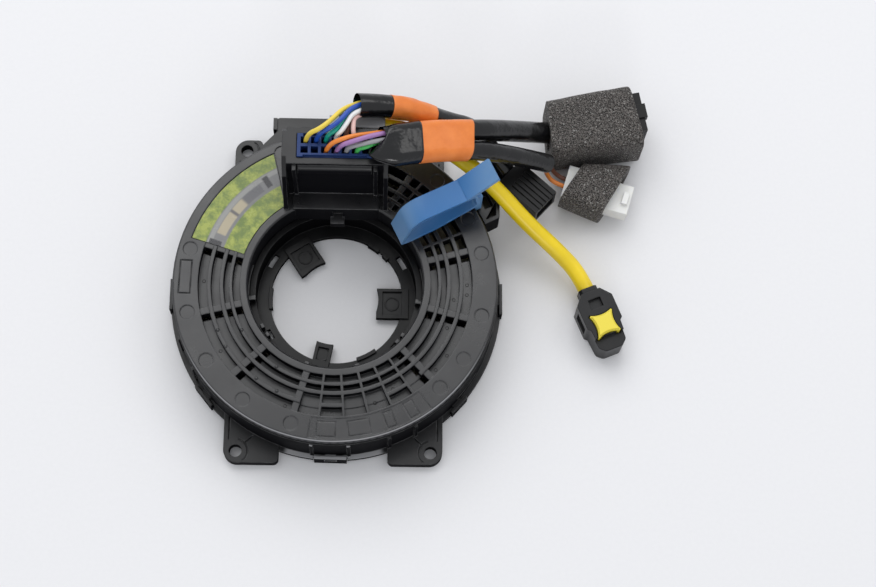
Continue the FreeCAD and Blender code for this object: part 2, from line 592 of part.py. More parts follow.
def rotor_cover():
    """Rotor plate with grille, label seat, funnel and tower, all one moulding."""
    under = PLATE_TOP - GRILLE_DEEP
    skirt_low = CASE_TOP + RUN_GAP
    shell = revolved([(RIM_IN, PLATE_TOP - RIM_BEVEL), (RIM_IN + RIM_BEVEL, PLATE_TOP),
                      (PLATE_R - RIM_BEVEL, PLATE_TOP), (PLATE_R, PLATE_TOP - RIM_BEVEL), (PLATE_R, skirt_low),
                      (PLATE_R - SKIRT, skirt_low), (PLATE_R - SKIRT, PLATE_TOP - BAND),
                      (BAND_R + SKIRT, PLATE_TOP - BAND), (BAND_R + SKIRT, under),
                      (RIM_OUT, under), (RIM_OUT, HUB_LOW), (RIM_IN, HUB_LOW)])
    for tool in grille_tools():
        shell = shell.cut(tool)
    chord = disc(RIM_IN + 0.5, CHORD_LOW, PLATE_TOP + 0.8)
    chord = chord.common(box(-15.4, 14.4, CHORD_Y, 40, CHORD_LOW, PLATE_TOP + 0.8))
    parts = [shell, chord, tower_solid()]
    parts.append(box(-2.4, 2.4, CHORD_Y - 2.6, CHORD_Y + 0.5, CHORD_LOW, CHORD_LOW + 3.2))
    for angle in FUNNEL_LUGS:
        parts.append(spoke(angle, 1.6, RIM_IN - 2.2, RIM_IN + 0.8, SLEEVE_TOP + 0.3, SLEEVE_TOP + 3.4))
    cover = fused(parts)
    tools = [tower_hollow()]
    tools.append(box(-1.5, 1.7, CHORD_Y - 1, CHORD_Y + 1.4, 15.5, 20.6))
    tools.append(label_shape(LABEL_EDGE, PLATE_TOP - LABEL_SINK, PLATE_TOP + 1))
    tools.append(sector(WINDOW_IN, WINDOW_OUT, WINDOW_FROM, WINDOW_TO, under - 1, PLATE_TOP + 1))
    for a0, a1 in ((163, 186), (-8, 16), (200, 222), (312, 336)):
        tools.append(sector(RIM_IN - 1, RIM_OUT + 1, a0, a1, SLEEVE_TOP + 0.8, under - 0.6))
    notch = box(STRAP_FOOT_FROM - STRAP_NOTCH_GAP, STRAP_FOOT_TO + 4, -STRAP_FOOT_WIDE / 2 - STRAP_NOTCH_GAP,
                STRAP_FOOT_WIDE / 2 + STRAP_NOTCH_GAP, skirt_low - 1, PLATE_TOP + 1)
    notch.translate(V(0, STRAP_WIDE / 2, 0))
    tools.append(placed(notch, STRAP_AT, STRAP_AZ))
    for angle in EJECTOR_ANGLES:
        spot = polar(EJECTOR_R, angle)
        tools.append(disc(EJECTOR / 2, PLATE_TOP - MARK_DEEP, PLATE_TOP + 1, spot))
    return cover.cut(tools + frame_tools())


def rotor_sleeve():
    """Ring snapped into the funnel from below, with the lip and three blank tabs."""
    out = RIM_IN - SLEEVE_GAP
    inner = out - SLEEVE_WALL
    body = revolved([(LIP_R, LIP_LOW), (FLANGE_R, LIP_LOW), (FLANGE_R, LEDGE_TOP - FLOOR - 0.4),
                     (RIM_OUT, LEDGE_TOP - FLOOR - 0.4), (RIM_OUT, HUB_LOW - 0.1), (out, HUB_LOW - 0.1),
                     (out, SLEEVE_TOP), (inner, SLEEVE_TOP), (inner, LIP_TOP), (LIP_R, LIP_TOP)])
    parts = [body]
    trays, marks = [], []
    for direction, shift, half, end in TABS:
        tab = box(end, LIP_R + 2, shift - half, shift + half, TAB_LOW, TAB_TOP)
        tab = tab.cut(disc(end + 0.7, TAB_LOW - 1, TAB_TOP + 1))
        tab.rotate(V(0, 0, 0), UP, direction)
        parts.append(tab)
        tray = box(end + 2.2, LIP_R - 0.3, shift - half + 1.1, shift + half - 1.1,
                   TAB_TOP - TAB_TRAY, TAB_TOP + 1)
        tray.rotate(V(0, 0, 0), UP, direction)
        trays.append(tray)
        centre = V((end + 1.6 + LIP_R) / 2, shift, 0)
        mark = ring(TAB_MARK, TAB_MARK + 0.4, TAB_TOP - TAB_TRAY - 0.2, TAB_TOP - TAB_TRAY + 0.25, centre)
        mark.rotate(V(0, 0, 0), UP, direction)
        marks.append(mark)
    body = fused(parts).cut(trays)
    slots = []
    for a0, a1 in LIP_SLOTS:
        slot_in = LIP_R + SLOT_SHARE * (inner - LIP_R)
        slots.append(sector(slot_in, inner - SLEEVE_GAP, a0, a1, LIP_LOW - 1, LIP_TOP + 1))
    for a0, a1 in LIP_HOOKS:
        marks.append(sector(LIP_R - HOOK, LIP_R + 0.6, a0, a1, LIP_LOW + 0.2, LIP_TOP + 1.0))
    return body.fuse(marks).cut(slots)


def rotor_insert():
    half = PLUG_HALF + PLUG_GAP - 1.4
    return box(TOWER_X - half, TOWER_X + half, PLUG_Y0 + 1.1, PLUG_Y1 - 1.1,
               PLATE_TOP - GRILLE_DEEP + 0.1, PLUG_LOW - 0.3)


def window_label():
    low = PLATE_TOP - LABEL_SINK + 0.02
    return label_shape(0, low, low + FILM)


def way_x(index):
    return TOWER_X + (index - (WAYS - 1) / 2) * WAY_PITCH


def harness_plug():
    """Blue plug: two rows of seven cavities, a raised rib between them and a front rail."""
    body = box(TOWER_X - PLUG_HALF, TOWER_X + PLUG_HALF, PLUG_Y0, PLUG_Y1, PLUG_LOW, PLUG_TOP)
    cells = []
    half = WAY_SIDE / 2
    for row in (ROW_FRONT, ROW_BACK):
        for k in range(WAYS):
            x = way_x(k)
            cells.append(box(x - half, x + half, row - half, row + half, WAY_FLOOR, PLUG_TOP + 1))
    body = body.cut(cells)
    for y in (PLUG_Y0 + 0.05, PLUG_Y1 - 0.55):
        body = body.cut(box(TOWER_X - PLUG_HALF + 2, TOWER_X + PLUG_HALF - 2, y - 0.6, y + 0.5,
                            PLUG_TOP - 1.2, PLUG_TOP + 1))
    return body


# Carrier and flat cable


def carrier_ring():
    parts = [ring(CARRIER_IN, CARRIER_OUT, CARRIER_LOW, CARRIER_TOP)]
    for k in range(ROLLERS):
        spot = polar(ROLLER_PITCH_R, ROLLER_FIRST + 360 / ROLLERS * k)
        parts.append(disc(PIVOT_R, CARRIER_TOP - 0.5, ROLLER_TOP + 0.6, spot))
    body = fused(parts)
    gaps = []
    for k in range(ROLLERS):
        middle = ROLLER_FIRST + 360 / ROLLERS * (k + 0.5)
        gaps.append(sector(CARRIER_IN + 3, CARRIER_OUT - 3, middle - 14, middle + 14,
                           CARRIER_LOW - 1, CARRIER_TOP + 1))
    return body.cut(gaps)


def roller(index):
    spot = polar(ROLLER_PITCH_R, ROLLER_FIRST + 360 / ROLLERS * index)
    return ring(PIVOT_R + PIVOT_GAP, ROLLER_R, ROLLER_LOW, ROLLER_TOP, spot)


def coil(first_radius, turns):
    """Turns of flat cable, each a ring, joined by one step to the next."""
    parts = []
    for k in range(turns):
        r = first_radius + k * COIL_PITCH
        parts.append(ring(r, r + CABLE, CABLE_LOW, CABLE_TOP))
        if k:
            parts.append(spoke(80 + 25 * k, CABLE, r - COIL_PITCH + CABLE / 2, r + CABLE / 2,
                               CABLE_LOW, CABLE_TOP))
    return fused(parts)


def cable_outer_coil():
    outer = CASE_WALL_R - CASE_WALL - 0.3 - CABLE
    return coil(outer - (COIL_TURNS - 1) * COIL_PITCH, COIL_TURNS)


def cable_inner_coil():
    return coil(RIM_OUT + 0.3, COIL_TURNS)


def cable_turn_loop():
    """The U turn that the rollers push round the cable room."""
    middle = polar(ROLLER_PITCH_R, TURN_ANGLE)
    loop = ring(TURN_R - CABLE, TURN_R, ROLLER_LOW + 0.4, CABLE_TOP, middle)
    half = box(0, 20, -20, 20, 0, 20)
    half.rotate(V(0, 0, 0), UP, TURN_ANGLE + 90)
    half.translate(middle)
    foot = sector(ROLLER_PITCH_R + TURN_R - CABLE, ROLLER_PITCH_R + TURN_R, TURN_ANGLE - 6, TURN_ANGLE,
                  ROLLER_LOW + 0.4, CABLE_TOP)
    stand = spoke(TURN_ANGLE + 8.6, 1.2, ROLLER_PITCH_R - 1.6, ROLLER_PITCH_R + 1.6,
                  CARRIER_TOP, CARRIER_TOP + 1)
    return fused([loop.common(half), foot]).cut(stand)


# Harness


def heading(start, end):
    return (end - start).normalize()


def around(axis, angle, radius):
    """A step square to an axis; angle 0 is its right side and 90 its top."""
    side = axis.cross(UP).normalize()
    top = side.cross(axis).normalize()
    a = math.radians(angle)
    return side * (radius * math.cos(a)) + top * (radius * math.sin(a))


def wire_routes(wires, row, sleeve, spread):
    """From each cavity up, over a crest and into the mouth of the sleeve."""
    head = heading(sleeve[0], sleeve[1])
    routes = {}
    for colour, way, angle, first, crest, before in wires:
        step = around(head, angle, spread)
        routes["wire_" + colour] = [V(way_x(way), row, WAY_FLOOR), V(way_x(way), row, first), crest,
                                    sleeve[0] - head * before + step,
                                    sleeve[0] + head * (MOUTH_DEEP - 0.4) + step]
    return routes


def tail_routes():
    """From inside the end of the lower sleeve down into the white connector."""
    head = heading(LOWER_ROUTE[-2], LOWER_ROUTE[-1])
    end = LOWER_ROUTE[-1]
    routes = {}
    for colour, angle, out, bend, before, row in TAIL_WIRES:
        step = around(head, angle, TAIL_SPREAD)
        near = placed(Part.Vertex(V(-before, row, CELL_LEVEL)), WHITE_AT, WHITE_AZ).Point
        inner = placed(Part.Vertex(V(CELL_DEEP - 0.1, row, CELL_LEVEL)), WHITE_AT, WHITE_AZ).Point
        routes["tail_wire_" + colour] = [end - head * (MOUTH_DEEP - 2.4) + step, end + head * out + step,
                                         bend, near, inner]
    return routes


def loose_wires():
    """All single wires, as a dictionary of name to solid."""
    routes = wire_routes(REAR_WIRES, ROW_BACK, REAR_ROUTE, REAR_SPREAD)
    routes.update(wire_routes(FRONT_WIRES, ROW_FRONT, FRONT_ROUTE, FRONT_SPREAD))
    routes.update(tail_routes())
    return {name: cord(route, WIRE, name) for name, route in routes.items()}


def mouth(start, inner, diameter):
    """Bore of a sleeve where wires go in, from its end towards a point inside."""
    head = heading(start, inner)
    return rod(start - head, start + head * MOUTH_DEEP, diameter - 2 * MOUTH_WALL)


def seat(route, diameter):
    """Room for the last stretch of a cord that ends inside a connector."""
    end, head = route[-1], heading(route[-2], route[-1])
    return rod(end - head * 8, end, diameter + 2 * SEAT_GAP)


def wrapped(route, first, last, diameter):
    """Skin of tape round a sleeve between two points of its route."""
    outer = swept(route, diameter + 2 * TAPE)[0]
    return outer.common(rod(first, last, 4 * diameter)).cut(swept(route, diameter)[0])


def rear_tape():
    return wrapped(REAR_ROUTE, along(REAR_ROUTE, 0, 0.9), along(REAR_ROUTE, 1, 0.95), SLEEVE)


def pair_tape():
    """One tape round both front sleeves where they run side by side."""
    a, a1 = FRONT_ROUTE[1], FRONT_ROUTE[2]
    b, b1 = LOWER_ROUTE[1], LOWER_ROUTE[2]
    lift = heading(a, a1).cross(b - a).normalize() * (PAIR_SLEEVE / 2 + TAPE - 0.08)
    inset = heading(a, a1) * 2.0
    rows = []
    for p, q in ((a + inset, b + inset), (a1 - inset, b1 - inset)):
        rows.append(Part.makePolygon([p + lift, q + lift, q - lift, p - lift, p + lift]))
    tape = Part.makeLoft(rows, True, True)
    for route, start, end in ((FRONT_ROUTE, a, a1), (LOWER_ROUTE, b, b1)):
        skin = swept(route, PAIR_SLEEVE + 2 * TAPE)[0]
        tape = tape.fuse(skin.common(rod(start + inset, end - inset, 4 * PAIR_SLEEVE)))
    for route in (FRONT_ROUTE, LOWER_ROUTE):
        tape = tape.cut(swept(route, PAIR_SLEEVE)[0])
    return tape


# Connectors


def lock_outline(grow, z0, z1):
    """Four pointed outline of the yellow lock, with hollow sides."""
    half = LOCK_SIDE / 2 + grow
    body = box(-half, half, -half, half, z0, z1)
    body = body.makeFillet(1.2, [e for e in body.Edges if abs(e.tangentAt(e.FirstParameter).z) > 0.9])
    reach = 9.0
    for k in range(4):
        hollow = disc(reach, z0 - 1, z1 + 1, polar(reach + half - 1.0, 90 * k))
        body = body.cut(hollow)
    return body


def squib_housing():
    """Airbag connector: stepped body, round nose, side wings and a well for the lock."""
    high, half = SQUIB_HIGH, SQUIB_WIDE / 2
    outline = [(0, -3.4), (3.6, -half), (12.4, -half), (13.2, -half + 1.0), (19.6, -half + 1.4),
               (SQUIB_LONG, -3.0), (SQUIB_LONG, 3.0), (19.6, half - 1.4), (13.2, half - 1.0),
               (12.4, half), (3.6, half), (0, 3.4)]
    body = plate(outline, [0.6] * 4 + [1.6] * 4 + [0.6] * 4, 0, high)
    collar = box(-2.0, 1.0, -3.3, 3.3, 2.9, 10.1)
    collar = collar.makeChamfer(1.0, [e for e in collar.Edges if abs(e.tangentAt(e.FirstParameter).x) > 0.9])
    body = body.fuse(collar)
    recess = box(3.0, 6.4, -2.2, 2.2, high - 1.6, high + 1)
    step = box(16.6, SQUIB_LONG + 1, -half, half, high - 2.0, high + 1)
    sides = [box(5.2, 11.4, s * half - 0.8, s * half + 0.8, 3.2, 8.8) for s in (-1, 1)]
    well = lock_outline(LOCK_GAP, high - LOCK_DEEP, high + 1)
    well.translate(V(LOCK_AT, 0, 0))
    body = body.cut([recess, step, well] + sides)
    return placed(body, SQUIB_AT, SQUIB_AZ).cut(seat(LEAD_ROUTE, LEAD))


def squib_lock():
    low, top = SQUIB_HIGH - LOCK_DEEP + 0.3, SQUIB_HIGH + 0.7
    cap = lock_outline(0, low, top).fuse(lock_outline(-0.4, top, top + 0.4))
    cap.translate(V(LOCK_AT, 0, 0))
    return placed(cap, SQUIB_AT, SQUIB_AZ)


def ribbed_connector():
    """Small connector with long ribs on top and grip ribs on its sides."""
    half = RIBBED_WIDE / 2
    body = box(0, RIBBED_LONG, -half, half, RIBBED_LOW, RIBBED_TOP)
    grooves = []
    for k in range(5):
        y = -half + 1.9 + k * 1.75
        grooves.append(box(4.0, RIBBED_LONG + 1, y - 0.25, y + 0.25, RIBBED_TOP - 0.6, RIBBED_TOP + 1))
    opening = box(RIBBED_LONG - 7, RIBBED_LONG + 1, -half + 1.2, half - 1.2,
                  RIBBED_LOW + 1.4, RIBBED_TOP - 2.2)
    bed = box(5.0, RIBBED_LONG - 2, half - 0.9, half + 1, RIBBED_LOW + 2.0, RIBBED_TOP - 1.6)
    body = placed(body.cut(grooves + [opening, bed]), RIBBED_AT, RIBBED_AZ)
    return body.cut(seat(REAR_ROUTE, SLEEVE))


def ribbed_retainer():
    half = RIBBED_WIDE / 2
    strip = box(5.1, RIBBED_LONG - 2.1, half - 0.85, half + 0.6, RIBBED_LOW + 2.1, RIBBED_TOP - 1.7)
    return placed(strip, RIBBED_AT, RIBBED_AZ)


def main_connector():
    """Wrapped connector with a keyed mouth at its far end and a latch on top."""
    half, top = MAIN_WIDE / 2, WRAPPED_LOW + MAIN_HIGH
    body = box(0.6, MAIN_LONG, -half, half, WRAPPED_LOW, top)
    body = body.makeFillet(1.0, [e for e in body.Edges if abs(e.tangentAt(e.FirstParameter).x) > 0.9])
    opening = box(MAIN_LONG - 9, MAIN_LONG + 1, -half + 1.5, half - 1.5, WRAPPED_LOW + 1.5, top - 2.6)
    keys = [box(MAIN_LONG - 9, MAIN_LONG - 0.5, y - 0.6, y + 0.6, WRAPPED_LOW + 1, WRAPPED_LOW + 3)
            for y in (-3, 3)]
    lip = box(MAIN_LONG - 3.4, MAIN_LONG, -half, half, top - 0.5, top + 0.9)
    latch = box(MAIN_LONG - 3.0, MAIN_LONG + 0.9, -2.6, 2.6, top - 1.2, top + 1.6)
    body = placed(fused([body.cut(opening), lip, latch] + keys), MAIN_AT, MAIN_AZ)
    return body.cut(seat(FRONT_ROUTE, PAIR_SLEEVE))


def foam_wrap(wide, high, start, end, skew):
    """A rounded wrap of foam on the floor, open at both ends for its connector."""
    half, top = wide / 2 + FOAM_GAP, WRAPPED_LOW + high + FOAM_GAP
    base = WRAPPED_LOW - FOAM_GAP
    outer = [V(start, -half - FOAM, 0), V(start, half + FOAM, 0),
             V(start, half + FOAM, top + FOAM), V(start, -half - FOAM, top + FOAM)]
    near = rounded(outer, [2.6, 2.6, 5.0, 5.0])
    far_points = [V(end + skew * p.y / half, p.y * 1.08, p.z + (1.0 if p.z > base else 0)) for p in outer]
    far = rounded(far_points, [2.6, 2.6, 5.0, 5.0])
    body = Part.makeLoft([near, far], True, True)
    return body.cut(box(start - 4, end + 6, -half, half, base, top))


def upper_foam():
    foam = foam_wrap(MAIN_WIDE, MAIN_HIGH, -0.6, MAIN_LONG - 4.2, 0.5)
    return placed(foam, MAIN_AT, MAIN_AZ)


def white_connector():
    """White connector with a stepped nose and a locking ramp."""
    half, top = WHITE_WIDE / 2, WRAPPED_LOW + WHITE_HIGH
    rear = box(0, 14, -half, half, WRAPPED_LOW, top)
    nose = box(14, WHITE_LONG, -half + 0.8, half - 0.8, WRAPPED_LOW + 0.8, top - 0.8)
    ramp = box(WHITE_LONG - 3.0, WHITE_LONG - 1.0, -2.2, 2.2, top - 1.0, top + 0.6)
    reach = CELL_SIDE / 2
    cells = [box(-1, CELL_DEEP, y - reach, y + reach, z - reach, z + reach)
             for y in (-3.9, -1.3, 1.3, 3.9) for z in (CELL_LEVEL - 3.2, CELL_LEVEL)]
    opening = box(WHITE_LONG - 6, WHITE_LONG + 1, -half + 2.0, half - 2.0, WRAPPED_LOW + 2.0, top - 2.0)
    return placed(fused([rear, nose, ramp]).cut(cells + [opening]), WHITE_AT, WHITE_AZ)


def lower_foam():
    foam = foam_wrap(WHITE_WIDE, WHITE_HIGH, 3.4, WHITE_LONG - 3.6, 0.3)
    return placed(foam, WHITE_AT, WHITE_AZ)


# Lock strap


def lock_strap():
    """Transit strap: a pear shaped loop, a thick head to pull and a foot in the bracket."""
    outline = [(-1.6, STRAP_REST + 0.6), (3.4, 38.9), (27.0, 39.2), (28.6, 29.0), (12.6, STRAP_REST + 0.9),
               (2.4, STRAP_REST)]
    radii = [1.7, 8.0, 1.5, 3.0, 20.0, 2.0]
    wire = rounded([V(t, 0, z) for t, z in outline], radii)
    inner = wire.makeOffset2D(-STRAP_THICK)
    band = Part.Face(wire).extrude(V(0, STRAP_WIDE, 0)).cut(Part.Face(inner).extrude(V(0, STRAP_WIDE, 0)))
    head = [V(24.0, 0, 37.9), V(35.0, 0, 45.2), V(34.2, 0, 46.6), V(23.2, 0, 39.3)]
    grip = Part.Face(Part.makePolygon(head + head[:1])).extrude(V(0, STRAP_WIDE, 0))
    gap = (STRAP_WIDE - STRAP_FOOT_WIDE) / 2
    foot = box(STRAP_FOOT_FROM, STRAP_FOOT_TO, gap, gap + STRAP_FOOT_WIDE, STRAP_FOOT_LOW, 31.5)
    inside = Part.Face(inner).extrude(V(0, STRAP_WIDE, 0))
    solid = fused([band, grip.cut(inside), foot.cut(inside)])
    return placed(solid, STRAP_AT, STRAP_AZ)


def main():
    os.makedirs("parts", exist_ok=True)
    rear = cord(REAR_ROUTE, SLEEVE, "rear_sleeve")
    front = cord(FRONT_ROUTE, PAIR_SLEEVE, "front_sleeve")
    lower = cord(LOWER_ROUTE, PAIR_SLEEVE, "lower_sleeve")
    nodes = {
        "stator_case": stator_case(),
        "bottom_cover": bottom_cover(),
        "slip_sheet": slip_sheet(),
        "stator_insert": stator_insert(),
        "signal_contacts": signal_contacts(),
        "airbag_contacts": airbag_contacts(),
        "cable_outer_coil": cable_outer_coil(),
        "rotor_cover": rotor_cover(),
        "rotor_sleeve": rotor_sleeve(),
        "rotor_insert": rotor_insert(),
        "cable_inner_coil": cable_inner_coil(),
        "window_label": window_label(),
        "harness_plug": harness_plug(),
        "carrier_ring": carrier_ring(),
        "cable_turn_loop": cable_turn_loop(),
        "rear_sleeve": rear.cut(mouth(REAR_ROUTE[0], REAR_ROUTE[1], SLEEVE)),
        "rear_tape": rear_tape(),
        "front_sleeve": front.cut(mouth(FRONT_ROUTE[0], FRONT_ROUTE[1], PAIR_SLEEVE)),
        "lower_sleeve": lower.cut(mouth(LOWER_ROUTE[-1], LOWER_ROUTE[-2], PAIR_SLEEVE)),
        "pair_tape": pair_tape(),
        "airbag_lead": cord(LEAD_ROUTE, LEAD, "airbag_lead"),
        "squib_housing": squib_housing(),
        "squib_lock": squib_lock(),
        "ribbed_connector": ribbed_connector(),
        "ribbed_retainer": ribbed_retainer(),
        "main_connector": main_connector(),
        "upper_foam": upper_foam(),
        "white_connector": white_connector(),
        "lower_foam": lower_foam(),
        "lock_strap": lock_strap(),
    }
    nodes.update(loose_wires())
    for k in range(ROLLERS):
        nodes["roller_" + str(k + 1)] = roller(k)
    for name, shape in nodes.items():
        print(name, "solids", len(shape.Solids), "valid", shape.isValid(), "volume", round(shape.Volume))
        shape.exportStep("parts/" + name + ".step")


main()
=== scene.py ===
import math

import bpy
from mathutils import Matrix, Vector, noise


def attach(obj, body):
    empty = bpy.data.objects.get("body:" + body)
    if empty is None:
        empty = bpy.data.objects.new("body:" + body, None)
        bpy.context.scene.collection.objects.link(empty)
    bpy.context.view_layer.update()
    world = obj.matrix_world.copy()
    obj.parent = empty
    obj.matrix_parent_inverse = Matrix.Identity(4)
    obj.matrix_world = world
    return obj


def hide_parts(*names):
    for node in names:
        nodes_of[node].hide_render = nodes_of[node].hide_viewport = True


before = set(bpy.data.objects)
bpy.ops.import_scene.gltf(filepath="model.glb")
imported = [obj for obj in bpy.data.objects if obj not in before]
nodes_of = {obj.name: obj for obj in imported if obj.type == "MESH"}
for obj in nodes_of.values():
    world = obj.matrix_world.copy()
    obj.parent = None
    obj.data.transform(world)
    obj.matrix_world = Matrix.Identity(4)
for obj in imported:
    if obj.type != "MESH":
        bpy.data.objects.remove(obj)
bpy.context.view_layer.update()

# %% [markdown]
# # Dressing a steering clock spring
#
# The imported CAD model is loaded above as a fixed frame. This script gives it its looks:
# black moulded plastic, loose wires, taped sleeves, foam wraps, a blue transit strap and
# a yellow airbag plug, on a pale floor under soft light.
#
# Lengths are in metres. The origin is on the turning axis, in the plane that the case
# stands on. +Z points to the driver and +Y to the connector tower.

# %% Places in millimetres
MM = 0.001
UP = Vector((0, 0, 1))


def mm(x, y, z):
    """A place given in millimetres, as a vector in metres."""
    return Vector((x, y, z)) * MM


def polar(radius, angle, z):
    """A place on a circle round the turning axis, from millimetres and degrees."""
    a = math.radians(angle)
    return mm(radius * math.cos(a), radius * math.sin(a), z)


# %% [markdown]
# ## The camera
#
# The photograph looks steeply down at the front of the part. The three directions below
# are the camera's own axes, worked out from the round outlines in the photograph.

# %% Camera
CAMERA_AT = mm(17.53, -185.09, 602.39)
CAMERA_RIGHT = Vector((0.99948, 0.00643, 0.03161))
CAMERA_UP = Vector((-0.01558, 0.95430, 0.29843))
CAMERA_BACK = Vector((-0.02824, -0.29877, 0.95391))
FOCAL_LENGTH, SENSOR_WIDTH = 73.97, 36.0     # in millimetres

camera_data = bpy.data.cameras.new("camera")
camera_data.lens = FOCAL_LENGTH
camera_data.sensor_width = SENSOR_WIDTH
camera = bpy.data.objects.new("camera", camera_data)
turn = Matrix((CAMERA_RIGHT, CAMERA_UP, CAMERA_BACK)).transposed().to_4x4()
camera.matrix_world = Matrix.Translation(CAMERA_AT) @ turn
bpy.context.scene.collection.objects.link(camera)
bpy.context.scene.camera = camera
print("camera distance", round(CAMERA_AT.length, 3))

# %% [markdown]
# ## The cords
#
# Sleeves, wires and the airbag lead are NURBS curves. Their control points are the
# points of the CAD routes, given in millimetres.

# %% Routes of the sleeves and the lead
REAR_ROUTE = [mm(6.6, 52.5, 51.0), mm(21.0, 55.0, 46.0), mm(35.0, 53.8, 36.4),
              mm(47.5, 55.0, 27.0), mm(55.0, 47.6, 17.4), mm(60.6, 41.1, 13.4)]
FRONT_ROUTE = [mm(15.0, 41.4, 51.3), mm(27.3, 45.65, 46.0), mm(45.4, 49.0, 40.0),
               mm(59.4, 54.2, 27.5), mm(76.6, 60.4, 10.8)]
LOWER_ROUTE = [mm(15.2, 34.2, 50.8), mm(27.2, 38.5, 46.1), mm(45.5, 41.9, 40.0),
               mm(59.8, 44.2, 30.0), mm(72.8, 45.5, 19.5)]
LEAD_ROUTE = [mm(3.0, 49.6, 41.6), mm(16.0, 50.4, 41.0), mm(30.0, 47.4, 36.5),
              mm(42.2, 42.6, 30.2), mm(53.8, 34.6, 24.6), mm(65.0, 25.0, 16.5),
              mm(76.8, 16.6, 9.8), mm(84.5, 9.1, 7.0), mm(87.4, 2.1, 6.5)]
SLEEVE = 7.0 * MM
PAIR_SLEEVE = 6.6 * MM
LEAD = 5.8 * MM
WIRE = 1.6 * MM
print("route points", sum(map(len, (REAR_ROUTE, FRONT_ROUTE, LOWER_ROUTE, LEAD_ROUTE))))

# %% [markdown]
# Each wire comes up out of a cavity of the blue plug, goes over a crest and ends inside
# the mouth of a sleeve. A row gives its cavity, its angle in the ring of wires in the
# mouth, its first height, its crest, and how far before the mouth it is in line. The
# rear wires lie a little lower here than the CAD tubes, as the photograph shows them.
#
# A tail wire runs from the lower sleeve's end to the white connector. Its row gives its
# angle in the sleeve, how far past the end it is straight, its bend, how far before the
# connector it is in line, and its place across the connector.

# %% Wires by colour
REAR_WIRES = (("yellow", 0, 180, 50.7, mm(-4.0, 42.8, 55.2), 1.5),
              ("blue", 1, 120, 50.8, mm(0.2, 43.8, 55.0), 0.4),
              ("teal", 2, 240, 50.0, mm(1.1, 43.7, 52.6), 1.2),
              ("white", 3, 60, 49.9, mm(2.1, 42.7, 53.0), 0.8),
              ("brown", 4, 300, 48.3, mm(3.6, 43.8, 50.5), 0.7),
              ("pink", 5, 0, 49.7, mm(5.3, 43.2, 51.4), 1.1))
FRONT_WIRES = (("orange", 2, 190, 49.6, mm(3.4, 40.3, 53.4), 0.7),
               ("purple", 3, 110, 49.1, mm(6.2, 38.5, 54.6), 1.5),
               ("grey", 4, 30, 48.4, mm(6.5, 37.8, 52.0), 2.7),
               ("green", 5, 300, 48.0, mm(10.2, 37.9, 50.7), 1.0))
TAIL_WIRES = (("brown", 90, 0.8, mm(74.3, 46.3, 12.9), 1.9, 1.3),
              ("orange", 270, 0.2, mm(72.4, 45.2, 12.3), 3.7, -1.3))
REAR_SPREAD, FRONT_SPREAD, TAIL_SPREAD = 2.0, 1.7, 1.2
print("wires", len(REAR_WIRES + FRONT_WIRES + TAIL_WIRES))


# %% [markdown]
# Ten wires share one function, so each row stays short. The first two points are
# in its cavity, and the last two are in line with the sleeve.

# %% Routes of the wires from the plug
WAY_PITCH, MIDDLE_WAY, MIDDLE_WAY_X = 3.4, 3, -0.5
WAY_FLOOR = 38.0
ROW_FRONT, ROW_BACK = 38.2, 41.6
WIRE_INSIDE = 13.6    # millimetres of a wire in its sleeve


def heading(start, end):
    return (end - start).normalized()


def around(axis, angle, radius):
    """A step square to an axis; angle 0 is its right side and 90 its top."""
    side = axis.cross(UP).normalized()
    top = side.cross(axis).normalized()
    a = math.radians(angle)
    return (side * math.cos(a) + top * math.sin(a)) * radius * MM


def wire_route(wire, row, sleeve, ring):
    _, way, angle, first, crest, before = wire
    head = heading(sleeve[0], sleeve[1])
    step = around(head, angle, ring)
    x = MIDDLE_WAY_X + (way - MIDDLE_WAY) * WAY_PITCH
    return [mm(x, row, WAY_FLOOR), mm(x, row, first), crest,
            sleeve[0] - head * before * MM + step,
            sleeve[0] + head * WIRE_INSIDE * MM + step]


wires = {}
for wire in REAR_WIRES:
    wires["wire_" + wire[0]] = wire_route(wire, ROW_BACK, REAR_ROUTE, REAR_SPREAD)
for wire in FRONT_WIRES:
    wires["wire_" + wire[0]] = wire_route(wire, ROW_FRONT, FRONT_ROUTE, FRONT_SPREAD)
print("plug routes", len(wires))

# %% Routes of the tail wires
WHITE_AT, WHITE_TURN = mm(79.6, 42.4, 0), -16.5
CELL_LEVEL, CELL_END = 8.6, 3.9
TAIL_INSIDE = 11.6


def on_white(x, y, z):
    """A place given in the white connector's own directions, in millimetres."""
    return WHITE_AT + Matrix.Rotation(math.radians(WHITE_TURN), 3, "Z") @ mm(x, y, z)


def tail_route(wire):
    _, angle, out, bend, before, row = wire
    head = heading(LOWER_ROUTE[-2], LOWER_ROUTE[-1])
    step = around(head, angle, TAIL_SPREAD)
    end = LOWER_ROUTE[-1]
    return [end - head * TAIL_INSIDE * MM + step, end + head * out * MM + step, bend,
            on_white(-before, row, CELL_LEVEL), on_white(CELL_END, row, CELL_LEVEL)]


for wire in TAIL_WIRES:
    wires["tail_wire_" + wire[0]] = tail_route(wire)
print("all wire routes", len(wires))


# %% [markdown]
# A curve with a round bevel is the simplest cord: it is smooth with few points, and each
# point has a radius of its own. The bevel depth is 1, so that radius is the true one.

# %% Curves of the cords
def cord_curve(name, route, diameter):
    """A smooth round cord on a NURBS line with the route as control points."""
    data = bpy.data.curves.new(name, "CURVE")
    data.dimensions = "3D"
    spline = data.splines.new("NURBS")
    spline.points.add(len(route) - 1)
    for point, place in zip(spline.points, route):
        point.co = (*place, 1)
        point.radius = diameter / 2
    spline.order_u = 3
    spline.use_endpoint_u = True
    data.resolution_u = 16
    data.bevel_depth = 1.0
    data.bevel_resolution = 7
    data.use_fill_caps = True
    cord = bpy.data.objects.new(name, data)
    bpy.context.scene.collection.objects.link(cord)
    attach(cord, "rotor")
    return cord


